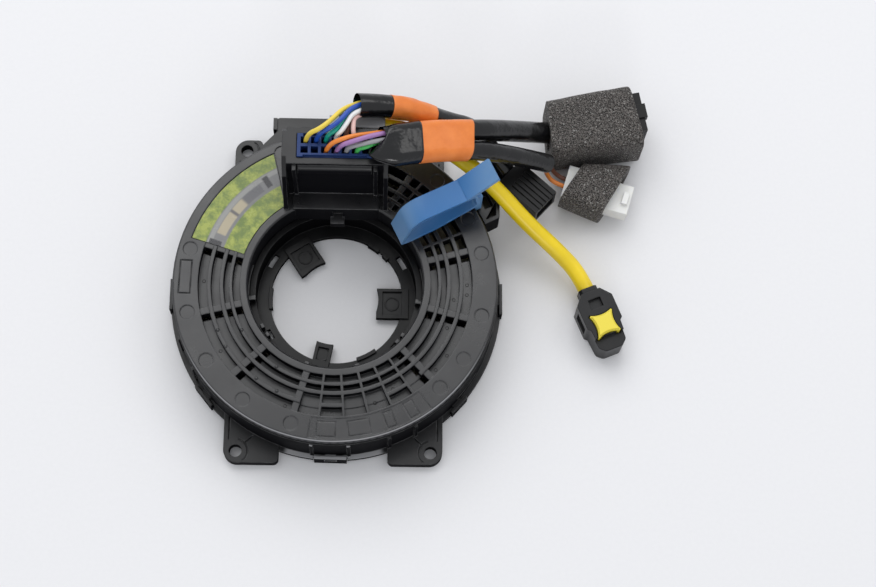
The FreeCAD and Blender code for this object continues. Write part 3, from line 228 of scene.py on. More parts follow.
rear_sleeve = cord_curve("rear_sleeve_tube", REAR_ROUTE, SLEEVE)
front_sleeve = cord_curve("front_sleeve_tube", FRONT_ROUTE, PAIR_SLEEVE)
lower_sleeve = cord_curve("lower_sleeve_tube", LOWER_ROUTE, PAIR_SLEEVE)
airbag_lead = cord_curve("airbag_lead_tube", LEAD_ROUTE, LEAD)
sleeves = (rear_sleeve, front_sleeve, lower_sleeve)
wire_objects = {name: cord_curve(name + "_core", route, WIRE) for name, route in wires.items()}
print("cords", 1 + len(sleeves) + len(wire_objects))

# %% [markdown]
# A real sleeve is a soft vinyl tube and isn't equally wide. The rear one has a flared,
# open end, the front one is fuller past its tape, and the lower one starts as a fold.

# %% Uneven sleeves
FLARE, NEXT_TO_FLARE, FULLER = 4.1 * MM, 3.9 * MM, 3.75 * MM
FOLD_SHARE = 0.4
rear_points, front_points, lower_points = (sleeve.data.splines[0].points for sleeve in sleeves)
rear_points[0].radius = FLARE
rear_points[1].radius = NEXT_TO_FLARE
for point in front_points[2:]:
    point.radius = FULLER
lower_points[0].radius *= FOLD_SHARE
for sleeve in sleeves:
    sleeve.data.use_fill_caps = False
print("open sleeves", len(sleeves))


# %% [markdown]
# A piece that lies along a cord, such as a tape, follows points read from the cord's own
# smooth line. A copy without its bevel gives that line.

# %% Reading a cord's line
def centreline(cord):
    """Points of a cord's line, from its exit to its end."""
    bare = cord.copy()
    bare.data = cord.data.copy()
    bare.data.bevel_depth = 0
    mesh = bpy.data.meshes.new_from_object(bare)
    line = [vertex.co.copy() for vertex in mesh.vertices]
    bpy.data.meshes.remove(mesh)
    bpy.data.objects.remove(bare)
    return line


def at_share(line, share):
    """The place and direction at a share of a line's length."""
    steps = [(b - a).length for a, b in zip(line, line[1:])]
    left = share * sum(steps)
    for k, step in enumerate(steps):
        if left <= step or k == len(steps) - 1:
            break
        left -= step
    return line[k].lerp(line[k + 1], left / step), heading(line[k], line[k + 1])


rear_line, front_line, lower_line = (centreline(sleeve) for sleeve in sleeves)
print("rear line points", len(rear_line))


# %% [markdown]
# ## Node groups
#
# Effects that several materials share are node groups with named sockets. They put out
# only masks, measures and normals; the shader stays in each material. The helpers keep
# the trees short: a node's value is a constant or another node's socket.

# %% Helpers for node trees
def join(tree, source, target):
    tree.links.new(source, target)


def add(tree, kind, values=None, **settings):
    """A node with its settings, and its values by the socket's name or number."""
    node = tree.nodes.new("ShaderNode" + kind)
    for key, value in settings.items():
        setattr(node, key, value)
    for key, value in (values or {}).items():
        if isinstance(value, bpy.types.NodeSocket):
            join(tree, value, node.inputs[key])
        else:
            node.inputs[key].default_value = value
    return node


def texture(tree, kind, values, **settings):
    """A texture that is fixed to the piece by the piece's own coordinates."""
    node = add(tree, kind, values, **settings)
    join(tree, add(tree, "TexCoord").outputs["Object"], node.inputs["Vector"])
    return node


def coordinate(tree, axis):
    """One of the piece's own coordinates."""
    place = add(tree, "TexCoord").outputs["Object"]
    return add(tree, "SeparateXYZ", {0: place}).outputs[axis]


def facing_up(tree):
    """1 on a level top and 0 on an upright wall."""
    normal = add(tree, "NewGeometry").outputs["Normal"]
    return add(tree, "SeparateXYZ", {0: normal}).outputs["Z"]


# %% Helpers for values and reliefs
def ramp(tree, source, low, high):
    """A smooth step of a value from low to high."""
    values = {0: source, 1: low, 2: high}
    return add(tree, "MapRange", values, interpolation_type="SMOOTHSTEP").outputs[0]


def spread(tree, source, low, high):
    """A value from 0 to 1 laid out between two values."""
    return add(tree, "MapRange", {0: source, 3: low, 4: high}).outputs[0]


def both_of(tree, first, second, operation="MULTIPLY"):
    return add(tree, "Math", {0: first, 1: second}, operation=operation).outputs[0]


def bumped(tree, height, strength, distance, under=None):
    """The normal of a relief, on top of another normal where one is given."""
    values = {"Height": height, "Strength": strength, "Distance": distance}
    if under is not None:
        values["Normal"] = under
    return add(tree, "Bump", values).outputs["Normal"]


# %% Starting a group
def new_group(name, inputs, outputs):
    """An empty group; inputs are (label, kind, default) and outputs (label, kind)."""
    tree = bpy.data.node_groups.new(name, "ShaderNodeTree")
    for label, kind, default in inputs:
        socket = tree.interface.new_socket(label, in_out="INPUT", socket_type="NodeSocket" + kind)
        socket.default_value = default
    for label, kind in outputs:
        tree.interface.new_socket(label, in_out="OUTPUT", socket_type="NodeSocket" + kind)
    return tree, tree.nodes.new("NodeGroupInput"), tree.nodes.new("NodeGroupOutput")


# %% [markdown]
# Moulded plastic is never quite sharp or smooth. Edges could be rounded in the mesh, but
# a bevel node rounds the shading alone and leaves the CAD shape as it is. A fine noise
# on top is the grain of the mould, and a wide one is its uneven sheen.

# %% Group: rounded edges with moulded grain
moulded_skin, given, result = new_group(
    "moulded_skin",
    [("Edge radius", "Float", 0.00025), ("Grain size", "Float", 2500.0), ("Grain", "Float", 0.1)],
    [("Normal", "Vector"), ("Mottle", "Float")])
tree = moulded_skin
edge = add(tree, "Bevel", {"Radius": given.outputs["Edge radius"]}, samples=6)
grain = texture(tree, "TexNoise", {"Scale": given.outputs["Grain size"], "Detail": 3.0,
                                   "Roughness": 0.6})
relief = bumped(tree, grain.outputs["Fac"], given.outputs["Grain"], 0.08 * MM,
                edge.outputs["Normal"])
join(tree, relief, result.inputs["Normal"])
mottle = texture(tree, "TexNoise", {"Scale": 60.0, "Detail": 4.0, "Roughness": 0.55})
join(tree, mottle.outputs["Fac"], result.inputs["Mottle"])
print(tree.name, len(tree.nodes))

# %% [markdown]
# Worn edges are where the rounded normal leaves the flat one. Their pale colour is partly
# wear and partly painted highlight. A patchy noise keeps it from being a drawn line.

# %% Group: worn edges and painted edge highlight
worn_and_highlit_edges, given, result = new_group(
    "worn_and_highlit_edges", [("Width", "Float", 0.0004)], [("Mask", "Float")])
tree = worn_and_highlit_edges
edge = add(tree, "Bevel", {"Radius": given.outputs["Width"]}, samples=6)
flat = add(tree, "NewGeometry")
match = add(tree, "VectorMath", {0: edge.outputs["Normal"], 1: flat.outputs["Normal"]},
            operation="DOT_PRODUCT")
patches = texture(tree, "TexNoise", {"Scale": 260.0, "Detail": 3.0})
worn = both_of(tree, ramp(tree, match.outputs["Value"], 0.99, 0.85),
               ramp(tree, patches.outputs["Fac"], 0.35, 0.65))
join(tree, worn, result.inputs["Mask"])
print(tree.name, len(tree.nodes))

# %% [markdown]
# Dust lies on what faces up, in clouds with small specks in them.

# %% Group: settled dust
settled_dust, given, result = new_group(
    "settled_dust", [("Amount", "Float", 0.3)], [("Mask", "Float")])
tree = settled_dust
clouds = texture(tree, "TexNoise", {"Scale": 45.0, "Detail": 5.0, "Roughness": 0.65})
specks = texture(tree, "TexVoronoi", {"Scale": 900.0})
dots = ramp(tree, specks.outputs["Distance"], 0.16, 0.08)
cloud = ramp(tree, clouds.outputs["Fac"], 0.45, 0.80)
both = add(tree, "Math", {0: dots, 1: cloud, 2: cloud}, operation="MULTIPLY_ADD")
lying = both_of(tree, both.outputs[0], ramp(tree, facing_up(tree), 0.5, 0.95))
dust = add(tree, "Math", {0: lying, 1: given.outputs["Amount"]}, operation="MULTIPLY",
           use_clamp=True)
join(tree, dust.outputs[0], result.inputs["Mask"])
print(tree.name, len(tree.nodes))

# %% [markdown]
# Upright walls are darker and duller than tops in the photograph. This mask finds them,
# so that one material can serve a whole moulding.

# %% Group: how steep a face is
steepness, given, result = new_group("steepness", [], [("Mask", "Float")])
tree = steepness
join(tree, ramp(tree, facing_up(tree), 0.75, 0.35), result.inputs["Mask"])
print(tree.name, len(tree.nodes))

# %% [markdown]
# The part is round, so a mark on it is easiest to place by its radius and its angle. No
# picture or unwrapped mesh is needed for that.

# %% Group: place round the turning axis
polar_place, given, result = new_group(
    "polar_place", [], [("Radius", "Float"), ("Angle", "Float")])
tree = polar_place
x, y = coordinate(tree, "X"), coordinate(tree, "Y")
flat = add(tree, "CombineXYZ", {"X": x, "Y": y})
reach = add(tree, "VectorMath", {0: flat.outputs[0]}, operation="LENGTH")
join(tree, reach.outputs["Value"], result.inputs["Radius"])
join(tree, both_of(tree, y, x, "ARCTAN2"), result.inputs["Angle"])
print(tree.name, len(tree.nodes))

# %% [markdown]
# Open foam is a net of small holes. The distance to the nearest of many scattered points
# gives such cells, and a finer noise makes them ragged.

# %% Group: open foam cells
foam_cells, given, result = new_group(
    "foam_cells", [("Cell size", "Float", 900.0)], [("Height", "Float"), ("Pores", "Float")])
tree = foam_cells
cells = texture(tree, "TexVoronoi", {"Scale": given.outputs["Cell size"], "Randomness": 1.0})
fine = texture(tree, "TexNoise", {"Scale": 2600.0, "Detail": 3.0})
depth = cells.outputs["Distance"]
height = add(tree, "Math", {0: depth, 1: fine.outputs["Fac"], 2: depth},
             operation="MULTIPLY_ADD")
join(tree, height.outputs[0], result.inputs["Height"])
join(tree, ramp(tree, depth, 0.62, 0.30), result.inputs["Pores"])
print(tree.name, len(tree.nodes))


# %% [markdown]
# ## Materials
#
# Every material starts from Blender's Principled shader. Patches of another colour are
# found by masks: a stretch of a value, a ring between two radii, or a sector of it.

# %% Helpers for materials
def new_material(name):
    """A material with its tree and its Principled shader."""
    material = bpy.data.materials.new(name)
    material.use_nodes = True
    return material, material.node_tree, material.node_tree.nodes["Principled BSDF"]


def use_group(tree, group, values=None):
    return add(tree, "Group", values, node_tree=group)


def mix_colour(tree, factor, first, second):
    """A colour mixed from two constant colours or sockets by a mask."""
    first, second = ((*c, 1) if isinstance(c, tuple) else c for c in (first, second))
    return add(tree, "Mix", {0: factor, 6: first, 7: second}, data_type="RGBA").outputs[2]


def paint_over(material, mask, colour):
    """Another colour on a finished material, where the mask is 1."""
    tree = material.node_tree
    target = tree.nodes["Principled BSDF"].inputs["Base Color"]
    before = target.links[0].from_socket
    join(tree, mix_colour(tree, mask, before, colour), target)


# %% Helpers for masks
def between(tree, source, low, high, soft):
    """A mask of the stretch between two values, with soft ends."""
    return both_of(tree, ramp(tree, source, low - soft, low + soft),
                   ramp(tree, source, high + soft, high - soft))


def ring(tree, low, high, soft):
    """A mask of the ring between two radii round the turning axis."""
    return between(tree, use_group(tree, polar_place).outputs["Radius"], low, high, soft)


def sector(tree, start, end, soft):
    """A mask of the stretch between two angles in degrees; soft is in radians."""
    angle = use_group(tree, polar_place).outputs["Angle"]
    return between(tree, angle, math.radians(start), math.radians(end), soft)


# %% [markdown]
# Nearly every piece is moulded plastic. One function makes them all from a colour and a
# roughness. Pale edges, partly wear and partly painted highlight, and a little dust keep black
# plastic from looking like a hole in the picture, and matt sides dull its upright walls.

# %% Moulded plastic
SHEEN = 0.22          # how far the roughness goes up and down over a surface
SIDE_GLOSS = 0.08     # the share of the gloss that is left on a matt side
WEAR_AND_HIGHLIGHT_TIMES, WEAR_AND_HIGHLIGHT_MORE = 1.6, 0.09
DUST_COLOUR = (0.42, 0.41, 0.40)


def plastic(name, colour, rough, grain=0.1, edge=0.25 * MM, dust=0.02, wear_and_highlight=0.3, gloss=0.5,
            matt=0.0):
    """Moulded plastic: soft edges, fine grain, uneven sheen, pale edges of wear and painted
    highlight, dust, matt sides.
    """
    material, tree, shader = new_material(name)
    skin = use_group(tree, moulded_skin, {"Edge radius": edge, "Grain": grain})
    join(tree, skin.outputs["Normal"], shader.inputs["Normal"])
    sheen = spread(tree, skin.outputs["Mottle"], rough - SHEEN, rough + SHEEN)
    steep = use_group(tree, steepness).outputs["Mask"]
    sides = add(tree, "Math", {0: steep, 1: matt, 2: sheen}, operation="MULTIPLY_ADD")
    join(tree, sides.outputs[0], shader.inputs["Roughness"])
    if matt:
        join(tree, spread(tree, steep, gloss, gloss * SIDE_GLOSS),
             shader.inputs["Specular IOR Level"])
    else:
        shader.inputs["Specular IOR Level"].default_value = gloss
    # The pale edge colour is partly wear and partly a painted highlight.
    pale_wear_and_highlight = tuple(min(1.0, c * WEAR_AND_HIGHLIGHT_TIMES + WEAR_AND_HIGHLIGHT_MORE) for c in colour)
    share = both_of(tree, use_group(tree, worn_and_highlit_edges).outputs["Mask"], wear_and_highlight)
    body = mix_colour(tree, share, colour, pale_wear_and_highlight)
    lying = use_group(tree, settled_dust, {"Amount": dust}).outputs["Mask"]
    join(tree, mix_colour(tree, lying, body, DUST_COLOUR), shader.inputs["Base Color"])
    return material


# %% The plastics
case_black = plastic("case_black", (0.004, 0.004, 0.005), 0.34, edge=0.4 * MM, matt=0.35,
                     wear_and_highlight=0.9)
rotor_black = plastic("rotor_black", (0.005, 0.005, 0.0065), 0.31, edge=0.5 * MM, dust=0.03,
                      gloss=0.72, matt=0.35, wear_and_highlight=0.9)
funnel_black = plastic("funnel_black", (0.003, 0.003, 0.0035), 0.35, gloss=0.3, matt=0.3)
connector_black = plastic("connector_black", (0.004, 0.004, 0.0045), 0.42, gloss=0.25)
squib_black = plastic("squib_black", (0.005, 0.005, 0.006), 0.42, edge=0.5 * MM, gloss=0.35)
plug_blue = plastic("plug_blue", (0.011, 0.036, 0.145), 0.45, gloss=0.3)
strap_blue = plastic("strap_blue", (0.038, 0.155, 0.38), 0.40, grain=0.05, edge=0.4 * MM, dust=0.0,
                     wear_and_highlight=0.5, gloss=0.3)
lock_yellow = plastic("lock_yellow", (0.80, 0.66, 0.05), 0.40, edge=0.6 * MM, dust=0.0, wear_and_highlight=0.1)
retainer_grey = plastic("retainer_grey", (0.06, 0.065, 0.07), 0.42, dust=0.15)
strip_grey = plastic("strip_grey", (0.30, 0.30, 0.31), 0.45, dust=0.0)
# The rollers and their carrier are a cream darkened as painted shade under the cover.
cream_with_shade = plastic("roller_cream", (0.34, 0.31, 0.21), 0.45, dust=0.0, wear_and_highlight=0.0)
natural_white = plastic("natural_white", (0.76, 0.76, 0.74), 0.35, edge=0.3 * MM, dust=0.0, wear_and_highlight=0.0)
print("materials", len(bpy.data.materials))

# %% [markdown]
# The strap and the white connector are unfilled plastic, so light goes a little way in.
# The strap is painted paler at its thick head and at its toe, as painted light where light
# comes in from more sides. Its own X coordinate finds both.

# %% Milky plastic, with painted light on the strap's ends
HEAD_FROM, HEAD_TO = 40.0 * MM, 52.0 * MM
TOE_FROM, TOE_TO = 31.0 * MM, 22.0 * MM
STRAP_PAINTED_LIGHT = (0.125, 0.255, 0.46)


def let_light_in(material, weight, reach):
    """The share of light that goes in, and how far its red, green and blue go."""
    shader = material.node_tree.nodes["Principled BSDF"]
    shader.inputs["Subsurface Weight"].default_value = weight
    shader.inputs["Subsurface Radius"].default_value = reach


let_light_in(strap_blue, 0.25, (0.0006, 0.0012, 0.002))
let_light_in(natural_white, 0.3, (0.002, 0.002, 0.0015))
tree = strap_blue.node_tree
along = coordinate(tree, "X")
strap_ends_painted_light = both_of(tree, ramp(tree, along, HEAD_FROM, HEAD_TO),
                     ramp(tree, along, TOE_FROM, TOE_TO), "MAXIMUM")
# The paler head and toe are painted light.
paint_over(strap_blue, strap_ends_painted_light, STRAP_PAINTED_LIGHT)
print("strap nodes", len(tree.nodes))

# %% [markdown]
# The ledge at the front of the case is polished and mirrors the light as a pale band.
# One photograph can't tell polish from colour, so the band is painted on level faces.

# %% A painted reflection on the ledge at the front of the case
LEDGE_IN, LEDGE_OUT = 55.6 * MM, 57.8 * MM
LEDGE_FROM, LEDGE_TO = -106.5, -73.0
LEDGE_PAINTED_REFLECTION = (0.34, 0.34, 0.35)
tree = case_black.node_tree
steep = use_group(tree, steepness).outputs["Mask"]
level = add(tree, "Math", {0: 1.0, 1: steep}, operation="SUBTRACT", use_clamp=True)
ledge = both_of(tree, ring(tree, LEDGE_IN, LEDGE_OUT, 0.1 * MM),
                sector(tree, LEDGE_FROM, LEDGE_TO, 0.02))
# The pale band is a painted reflection of the light, on the level faces of the ledge.
paint_over(case_black, both_of(tree, ledge, level.outputs[0]), LEDGE_PAINTED_REFLECTION)
print("ledge", LEDGE_TO - LEDGE_FROM, "degrees")

# %% [markdown]
# The tower is duller than the plate it stands on, though both are one moulding, so the
# gloss falls with height. The plate's front edge has a thin painted highlight.

# %% A matt tower, and a painted highlight on the rotor plate's edge
TOWER_FROM, TOWER_TO = 28.0 * MM, 34.0 * MM
TOWER_GLOSS = 0.6
RIM_IN, RIM_OUT = 54.62 * MM, 54.96 * MM
RIM_FROM, RIM_TO = -150, -30
RIM_PAINTED_HIGHLIGHT = (0.26, 0.26, 0.27)
tree = rotor_black.node_tree
gloss = tree.nodes["Principled BSDF"].inputs["Specular IOR Level"]
matt_top = spread(tree, ramp(tree, coordinate(tree, "Z"), TOWER_FROM, TOWER_TO), 1.0, TOWER_GLOSS)
join(tree, both_of(tree, gloss.links[0].from_socket, matt_top), gloss)
painted_rim_highlight = both_of(tree, ring(tree, RIM_IN, RIM_OUT, 0.06 * MM),
                   sector(tree, RIM_FROM, RIM_TO, 0.25))
# The thin pale line is a painted highlight on the plate's front edge.
paint_over(rotor_black, painted_rim_highlight, RIM_PAINTED_HIGHLIGHT)
print("rim line", RIM_TO - RIM_FROM, "degrees")


# %% [markdown]
# Soft vinyl, used for the sleeves, the wires and the lead, isn't quite round: a wide noise
# in the normal gives the swells that break up its long highlight, and painted shade darkens
# their hollows.

# %% Soft vinyl
SWELL_SIZE, SPECK_SIZE = 140.0, 1800.0
HOLLOW_SHADE_SHARE = 0.75         # the colour in a hollow, as a share of the colour


def vinyl(name, colour, rough, wave=0.15):
    material, tree, shader = new_material(name)
    swell = texture(tree, "TexNoise", {"Scale": SWELL_SIZE, "Detail": 3.0}).outputs["Fac"]
    speck = texture(tree, "TexNoise", {"Scale": SPECK_SIZE, "Detail": 2.0}).outputs["Fac"]
    swollen = bumped(tree, swell, wave, 0.6 * MM)
    join(tree, bumped(tree, speck, 0.05, 0.1 * MM, swollen), shader.inputs["Normal"])
    # The hollows of the swells are darkened as painted shade.
    hollow_shade_colour = tuple(c * HOLLOW_SHADE_SHARE for c in colour)
    join(tree, mix_colour(tree, swell, hollow_shade_colour, colour), shader.inputs["Base Color"])
    join(tree, spread(tree, swell, rough - 0.08, rough + 0.10), shader.inputs["Roughness"])
    return material


sleeve_black = vinyl("sleeve_black", (0.005, 0.005, 0.006), 0.20, wave=1.0)
lead_yellow = vinyl("lead_yellow", (0.93, 0.68, 0.012), 0.30, wave=0.2)
WIRE_COLOURS = {
    "yellow": (0.90, 0.68, 0.08), "blue": (0.015, 0.08, 0.44), "teal": (0.01, 0.42, 0.30),
    "white": (0.90, 0.90, 0.88), "brown": (0.13, 0.045, 0.025), "pink": (0.90, 0.60, 0.56),
    "orange": (0.93, 0.28, 0.04), "purple": (0.42, 0.22, 0.50), "grey": (0.36, 0.36, 0.38),
    "green": (0.09, 0.60, 0.14)}
insulation = {name: vinyl("insulation_" + name, colour, 0.34)
              for name, colour in WIRE_COLOURS.items()}
print("vinyls", 2 + len(insulation))

# %% [markdown]
# The orange tape is thin vinyl with a fine embossing. One noise makes both its creases
# and their change of colour, because a stretched crease is paler.

# %% Orange tape
TAPE_DEEP, TAPE_BRIGHT = (0.62, 0.14, 0.015), (0.86, 0.26, 0.05)
tape_orange, tree, shader = new_material("tape_orange")
creases = texture(tree, "TexNoise", {"Scale": 220.0, "Detail": 5.0, "Roughness": 0.6})
emboss = texture(tree, "TexVoronoi", {"Scale": 2200.0})
creased = bumped(tree, creases.outputs["Fac"], 0.5, 0.4 * MM)
join(tree, bumped(tree, emboss.outputs["Distance"], 0.12, 0.1 * MM, creased),
     shader.inputs["Normal"])
join(tree, mix_colour(tree, creases.outputs["Fac"], TAPE_DEEP, TAPE_BRIGHT),
     shader.inputs["Base Color"])
shader.inputs["Roughness"].default_value = 0.38
print("tape nodes", len(tree.nodes))

# %% [markdown]
# The foam is grey, with painted shade in its pores and painted glints where cell walls
# face the light. Real cells would take millions of faces; a bump and three colours look the
# same here.

# %% Grey foam
FOAM_CELL = 2400.0
FOAM_BODY, FOAM_PORE_SHADE, FOAM_PAINTED_GLINT = (0.195, 0.178, 0.165), (0.009, 0.008, 0.008), (0.50, 0.49, 0.47)
foam_grey, tree, shader = new_material("foam_grey")
cells = use_group(tree, foam_cells, {"Cell size": FOAM_CELL})
join(tree, bumped(tree, cells.outputs["Height"], 1.0, 0.8 * MM), shader.inputs["Normal"])
# Dark pores are painted shade, and bright specks are painted glints.
skin = mix_colour(tree, cells.outputs["Pores"], FOAM_BODY, FOAM_PORE_SHADE)
painted_glint_noise = texture(tree, "TexNoise", {"Scale": 1500.0, "Detail": 2.0})
painted_glints = ramp(tree, painted_glint_noise.outputs["Fac"], 0.60, 0.70)
join(tree, mix_colour(tree, painted_glints, skin, FOAM_PAINTED_GLINT), shader.inputs["Base Color"])
shader.inputs["Roughness"].default_value = 0.6
shader.inputs["Specular IOR Level"].default_value = 0.35
print("foam nodes", len(tree.nodes))

# %% [markdown]
# The contacts are bare metal with fine scratches. The flat cable is a film with copper
# tracks, drawn as bands that are stacked along the turning axis. Little of either shows.

# %% Contact metal and flat cable
contact_metal, tree, shader = new_material("contact_metal")
scratches = add(tree, "TexNoise", {"Scale": 900.0, "Detail": 2.0})
join(tree, spread(tree, scratches.outputs["Fac"], 0.22, 0.42), shader.inputs["Roughness"])
shader.inputs["Base Color"].default_value = (0.70, 0.68, 0.62, 1)
shader.inputs["Metallic"].default_value = 1.0

FILM_BROWN, TRACK_COPPER = (0.10, 0.09, 0.075), (0.20, 0.13, 0.07)
flat_cable, tree, shader = new_material("flat_cable")
tracks = texture(tree, "TexWave", {"Scale": 130.0}, bands_direction="Z")
join(tree, mix_colour(tree, tracks.outputs["Fac"], FILM_BROWN, TRACK_COPPER),
     shader.inputs["Base Color"])
shader.inputs["Roughness"].default_value = 0.25
print("cable nodes", len(tree.nodes))

# %% [markdown]
# The label is a printed film: a yellow-green band along its outer and inner edge, and a
# clear middle through which the rollers show. The bands are found from the radius, so no
# picture has to be fitted to the film.

# %% Label film: its ink
OUTER_BAND, INNER_BAND = 46.3 * MM, 39.9 * MM
SOFT, SOFT_TURN = 0.3 * MM, 0.009
INK_WORN, INK_FRESH = (0.11, 0.17, 0.022), (0.31, 0.36, 0.055)
window_film, tree, shader = new_material("window_film")
where = use_group(tree, polar_place)
reach, bearing = where.outputs["Radius"], where.outputs["Angle"]
printed = both_of(tree, ramp(tree, reach, OUTER_BAND - SOFT, OUTER_BAND + SOFT),
                  ramp(tree, reach, INNER_BAND + SOFT, INNER_BAND - SOFT), "MAXIMUM")
uneven = texture(tree, "TexNoise", {"Scale": 230.0, "Detail": 6.0, "Roughness": 0.7})
ink = mix_colour(tree, ramp(tree, uneven.outputs["Fac"], 0.38, 0.62), INK_WORN, INK_FRESH)
print("ink nodes", len(tree.nodes))

# %% [markdown]
# The clear middle has a paler frame, dark ends, and a window that is dark at one side
# and cream at the other, with a bar across. Each is laid over the colour so far.

# %% Label film: its clear middle
WINDOW_RING, WINDOW_SECTOR = (41.0 * MM, 44.2 * MM), (127.5, 157.0)
FRAME_RING, END_RING = (44.4 * MM, 46.0 * MM), (41.2 * MM, 45.5 * MM)
BAR_SECTOR, FIRST_END = (144.3, 145.8), (122.6, 125.4)
CREAM_FROM, LAST_END = map(math.radians, (137.0, 160.0))
CREAM_STEP, END_STEP = map(math.radians, (2.0, 0.6))
CLEAR_DARK, CLEAR_LIGHT, FRAME_PALE = (0.155, 0.155, 0.16), (0.25, 0.25, 0.25), (0.31, 0.31, 0.30)
SEEN_DARK, SEEN_CREAM, BAR_DARK = (0.13, 0.13, 0.14), (0.46, 0.40, 0.28), (0.14, 0.13, 0.13)
END_DARK = (0.035, 0.035, 0.04)
clear = mix_colour(tree, uneven.outputs["Fac"], CLEAR_DARK, CLEAR_LIGHT)
clear = mix_colour(tree, ring(tree, *FRAME_RING, SOFT), clear, FRAME_PALE)
cream_part = ramp(tree, bearing, CREAM_FROM, CREAM_FROM + CREAM_STEP)
seen = mix_colour(tree, cream_part, SEEN_DARK, SEEN_CREAM)
seen = mix_colour(tree, sector(tree, *BAR_SECTOR, SOFT_TURN), seen, BAR_DARK)
window = both_of(tree, ring(tree, *WINDOW_RING, SOFT), sector(tree, *WINDOW_SECTOR, SOFT_TURN))
clear = mix_colour(tree, window, clear, seen)
ends = both_of(tree, sector(tree, *FIRST_END, SOFT_TURN),
               ramp(tree, bearing, LAST_END, LAST_END + END_STEP), "MAXIMUM")
ends = both_of(tree, ends, ring(tree, *END_RING, SOFT))
clear = mix_colour(tree, ends, clear, END_DARK)
join(tree, mix_colour(tree, printed, clear, ink), shader.inputs["Base Color"])
join(tree, spread(tree, printed, 0.80, 0.96), shader.inputs["Alpha"])
join(tree, spread(tree, uneven.outputs["Fac"], 0.18, 0.34), shader.inputs["Roughness"])
print("label nodes", len(tree.nodes))

# %% [markdown]
# Each CAD node gets one material in place of the plain one that it came with.

# %% Materials of the CAD nodes and the cords
NODES_BY_MATERIAL = (
    (case_black, "stator_case bottom_cover stator_insert rotor_insert"),
    (rotor_black, "rotor_cover"), (funnel_black, "rotor_sleeve"), (plug_blue, "harness_plug"),
    (window_film, "window_label"), (contact_metal, "signal_contacts airbag_contacts"),
    (flat_cable, "cable_outer_coil cable_inner_coil cable_turn_loop"),
    (retainer_grey, "slip_sheet ribbed_retainer"), (squib_black, "squib_housing"),
    (connector_black, "ribbed_connector main_connector"), (natural_white, "white_connector"),
    (lock_yellow, "squib_lock"), (strap_blue, "lock_strap"),
    (cream_with_shade, "carrier_ring roller_1 roller_2 roller_3 roller_4 roller_5 roller_6"))


def give(piece, material):
    """One material on the whole of a piece."""
    piece.data.materials.clear()
    piece.data.materials.append(material)


for material, names in NODES_BY_MATERIAL:
    for name in names.split():
        give(nodes_of[name], material)
for sleeve in sleeves:
    give(sleeve, sleeve_black)
give(airbag_lead, lead_yellow)
for name, cord in wire_objects.items():
    give(cord, insulation[name.split("_")[-1]])
print("materials on CAD nodes", len(NODES_BY_MATERIAL))


# %% [markdown]
# ## Tapes
#
# A tape is a skin round one or two sleeves. Its rings follow the sleeves' own lines, and
# a little noise makes it wrinkle. A modifier then gives the skin its thickness.

# %% Mesh helpers
def mesh_object(name, vertices, faces, material, body="rotor", smooth=True):
    mesh = bpy.data.meshes.new(name)
    mesh.from_pydata([tuple(v) for v in vertices], [], faces)
    mesh.validate()
    if smooth:
        mesh.shade_smooth()
    piece = bpy.data.objects.new(name, mesh)
    bpy.context.scene.collection.objects.link(piece)
    give(piece, material)
    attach(piece, body)
    return piece


def bridged(rings, closed_ring=True):
    """Vertices and faces of a skin through rings with the same number of points."""
    count = len(rings[0])
    vertices = [v for ring in rings for v in ring]
    faces = []
    for i in range(len(rings) - 1):
        for j in range(count if closed_ring else count - 1):
            k = (j + 1) % count
            faces.append((i * count + j, i * count + k, (i + 1) * count + k, (i + 1) * count + j))
    return vertices, faces


def thicken(piece, thickness):
    modifier = piece.modifiers.new("thickness", "SOLIDIFY")
    modifier.thickness = thickness
    modifier.offset = 1.0


def soften(piece, width, limit):
    """Small rounds on the edges that turn by more than a limit in degrees."""
    modifier = piece.modifiers.new("rounding", "BEVEL")
    modifier.width = width
    modifier.segments = 2
    modifier.angle_limit = math.radians(limit)


# %% Tape on the rear sleeve
TAPE_MIDDLE = 0.25 * MM    # half the tape's thickness, and its lift off the sleeve
TAPE_SHEET = 0.25 * MM
RING_POINTS = 48
REAR_TAPE_RINGS = 40
REAR_TAPE_FROM, REAR_TAPE_SPAN = 0.165, 0.235
REAR_TAPE_RADIUS, REAR_TAPE_FALL = 3.86, 0.30


def wrinkle(place, size, amount):
    return noise.noise(place * size) * amount


rings = []
for i in range(REAR_TAPE_RINGS):
    t = i / (REAR_TAPE_RINGS - 1)
    middle, direction = at_share(rear_line, REAR_TAPE_FROM + REAR_TAPE_SPAN * t)
    side = direction.cross(UP).normalized()
    top = side.cross(direction).normalized()
    points = []
    for j in range(RING_POINTS):
        a = 2 * math.pi * j / RING_POINTS
        out = side * math.cos(a) + top * math.sin(a)
        radius = (REAR_TAPE_RADIUS - REAR_TAPE_FALL * t) * MM + TAPE_MIDDLE
        radius += wrinkle(middle + out * SLEEVE, 260, 0.18 * MM)
        points.append(middle + out * radius)
    rings.append(points)
rear_tape = mesh_object("rear_tape_wrap", *bridged(rings), tape_orange)
thicken(rear_tape, TAPE_SHEET)
print("rear tape rings", len(rings))


# %% [markdown]
# The second tape holds the two front sleeves side by side, so its rings are belts round
# both: a half circle at each end, and straight between them.

# %% Tape round the pair of sleeves
PAIR_RINGS = 44
PAIR_FRONT_FROM, PAIR_FRONT_SPAN = 0.165, 0.255
PAIR_LOWER_FROM, PAIR_LOWER_SPAN = 0.197, 0.275


def belt(first, second, direction, first_radius, second_radius):
    """Points of a belt round two circles, and the belt's own upward direction."""
    across = (first - second).normalized()
    up = across.cross(direction).normalized()
    points = []
    half = RING_POINTS // 2
    for centre, start, radius in ((first, 90, first_radius), (second, 270, second_radius)):
        for j in range(half):
            a = math.radians(start - 180 * j / (half - 1))
            points.append(centre + (across * math.cos(a) + up * math.sin(a)) * radius)
    return points, up


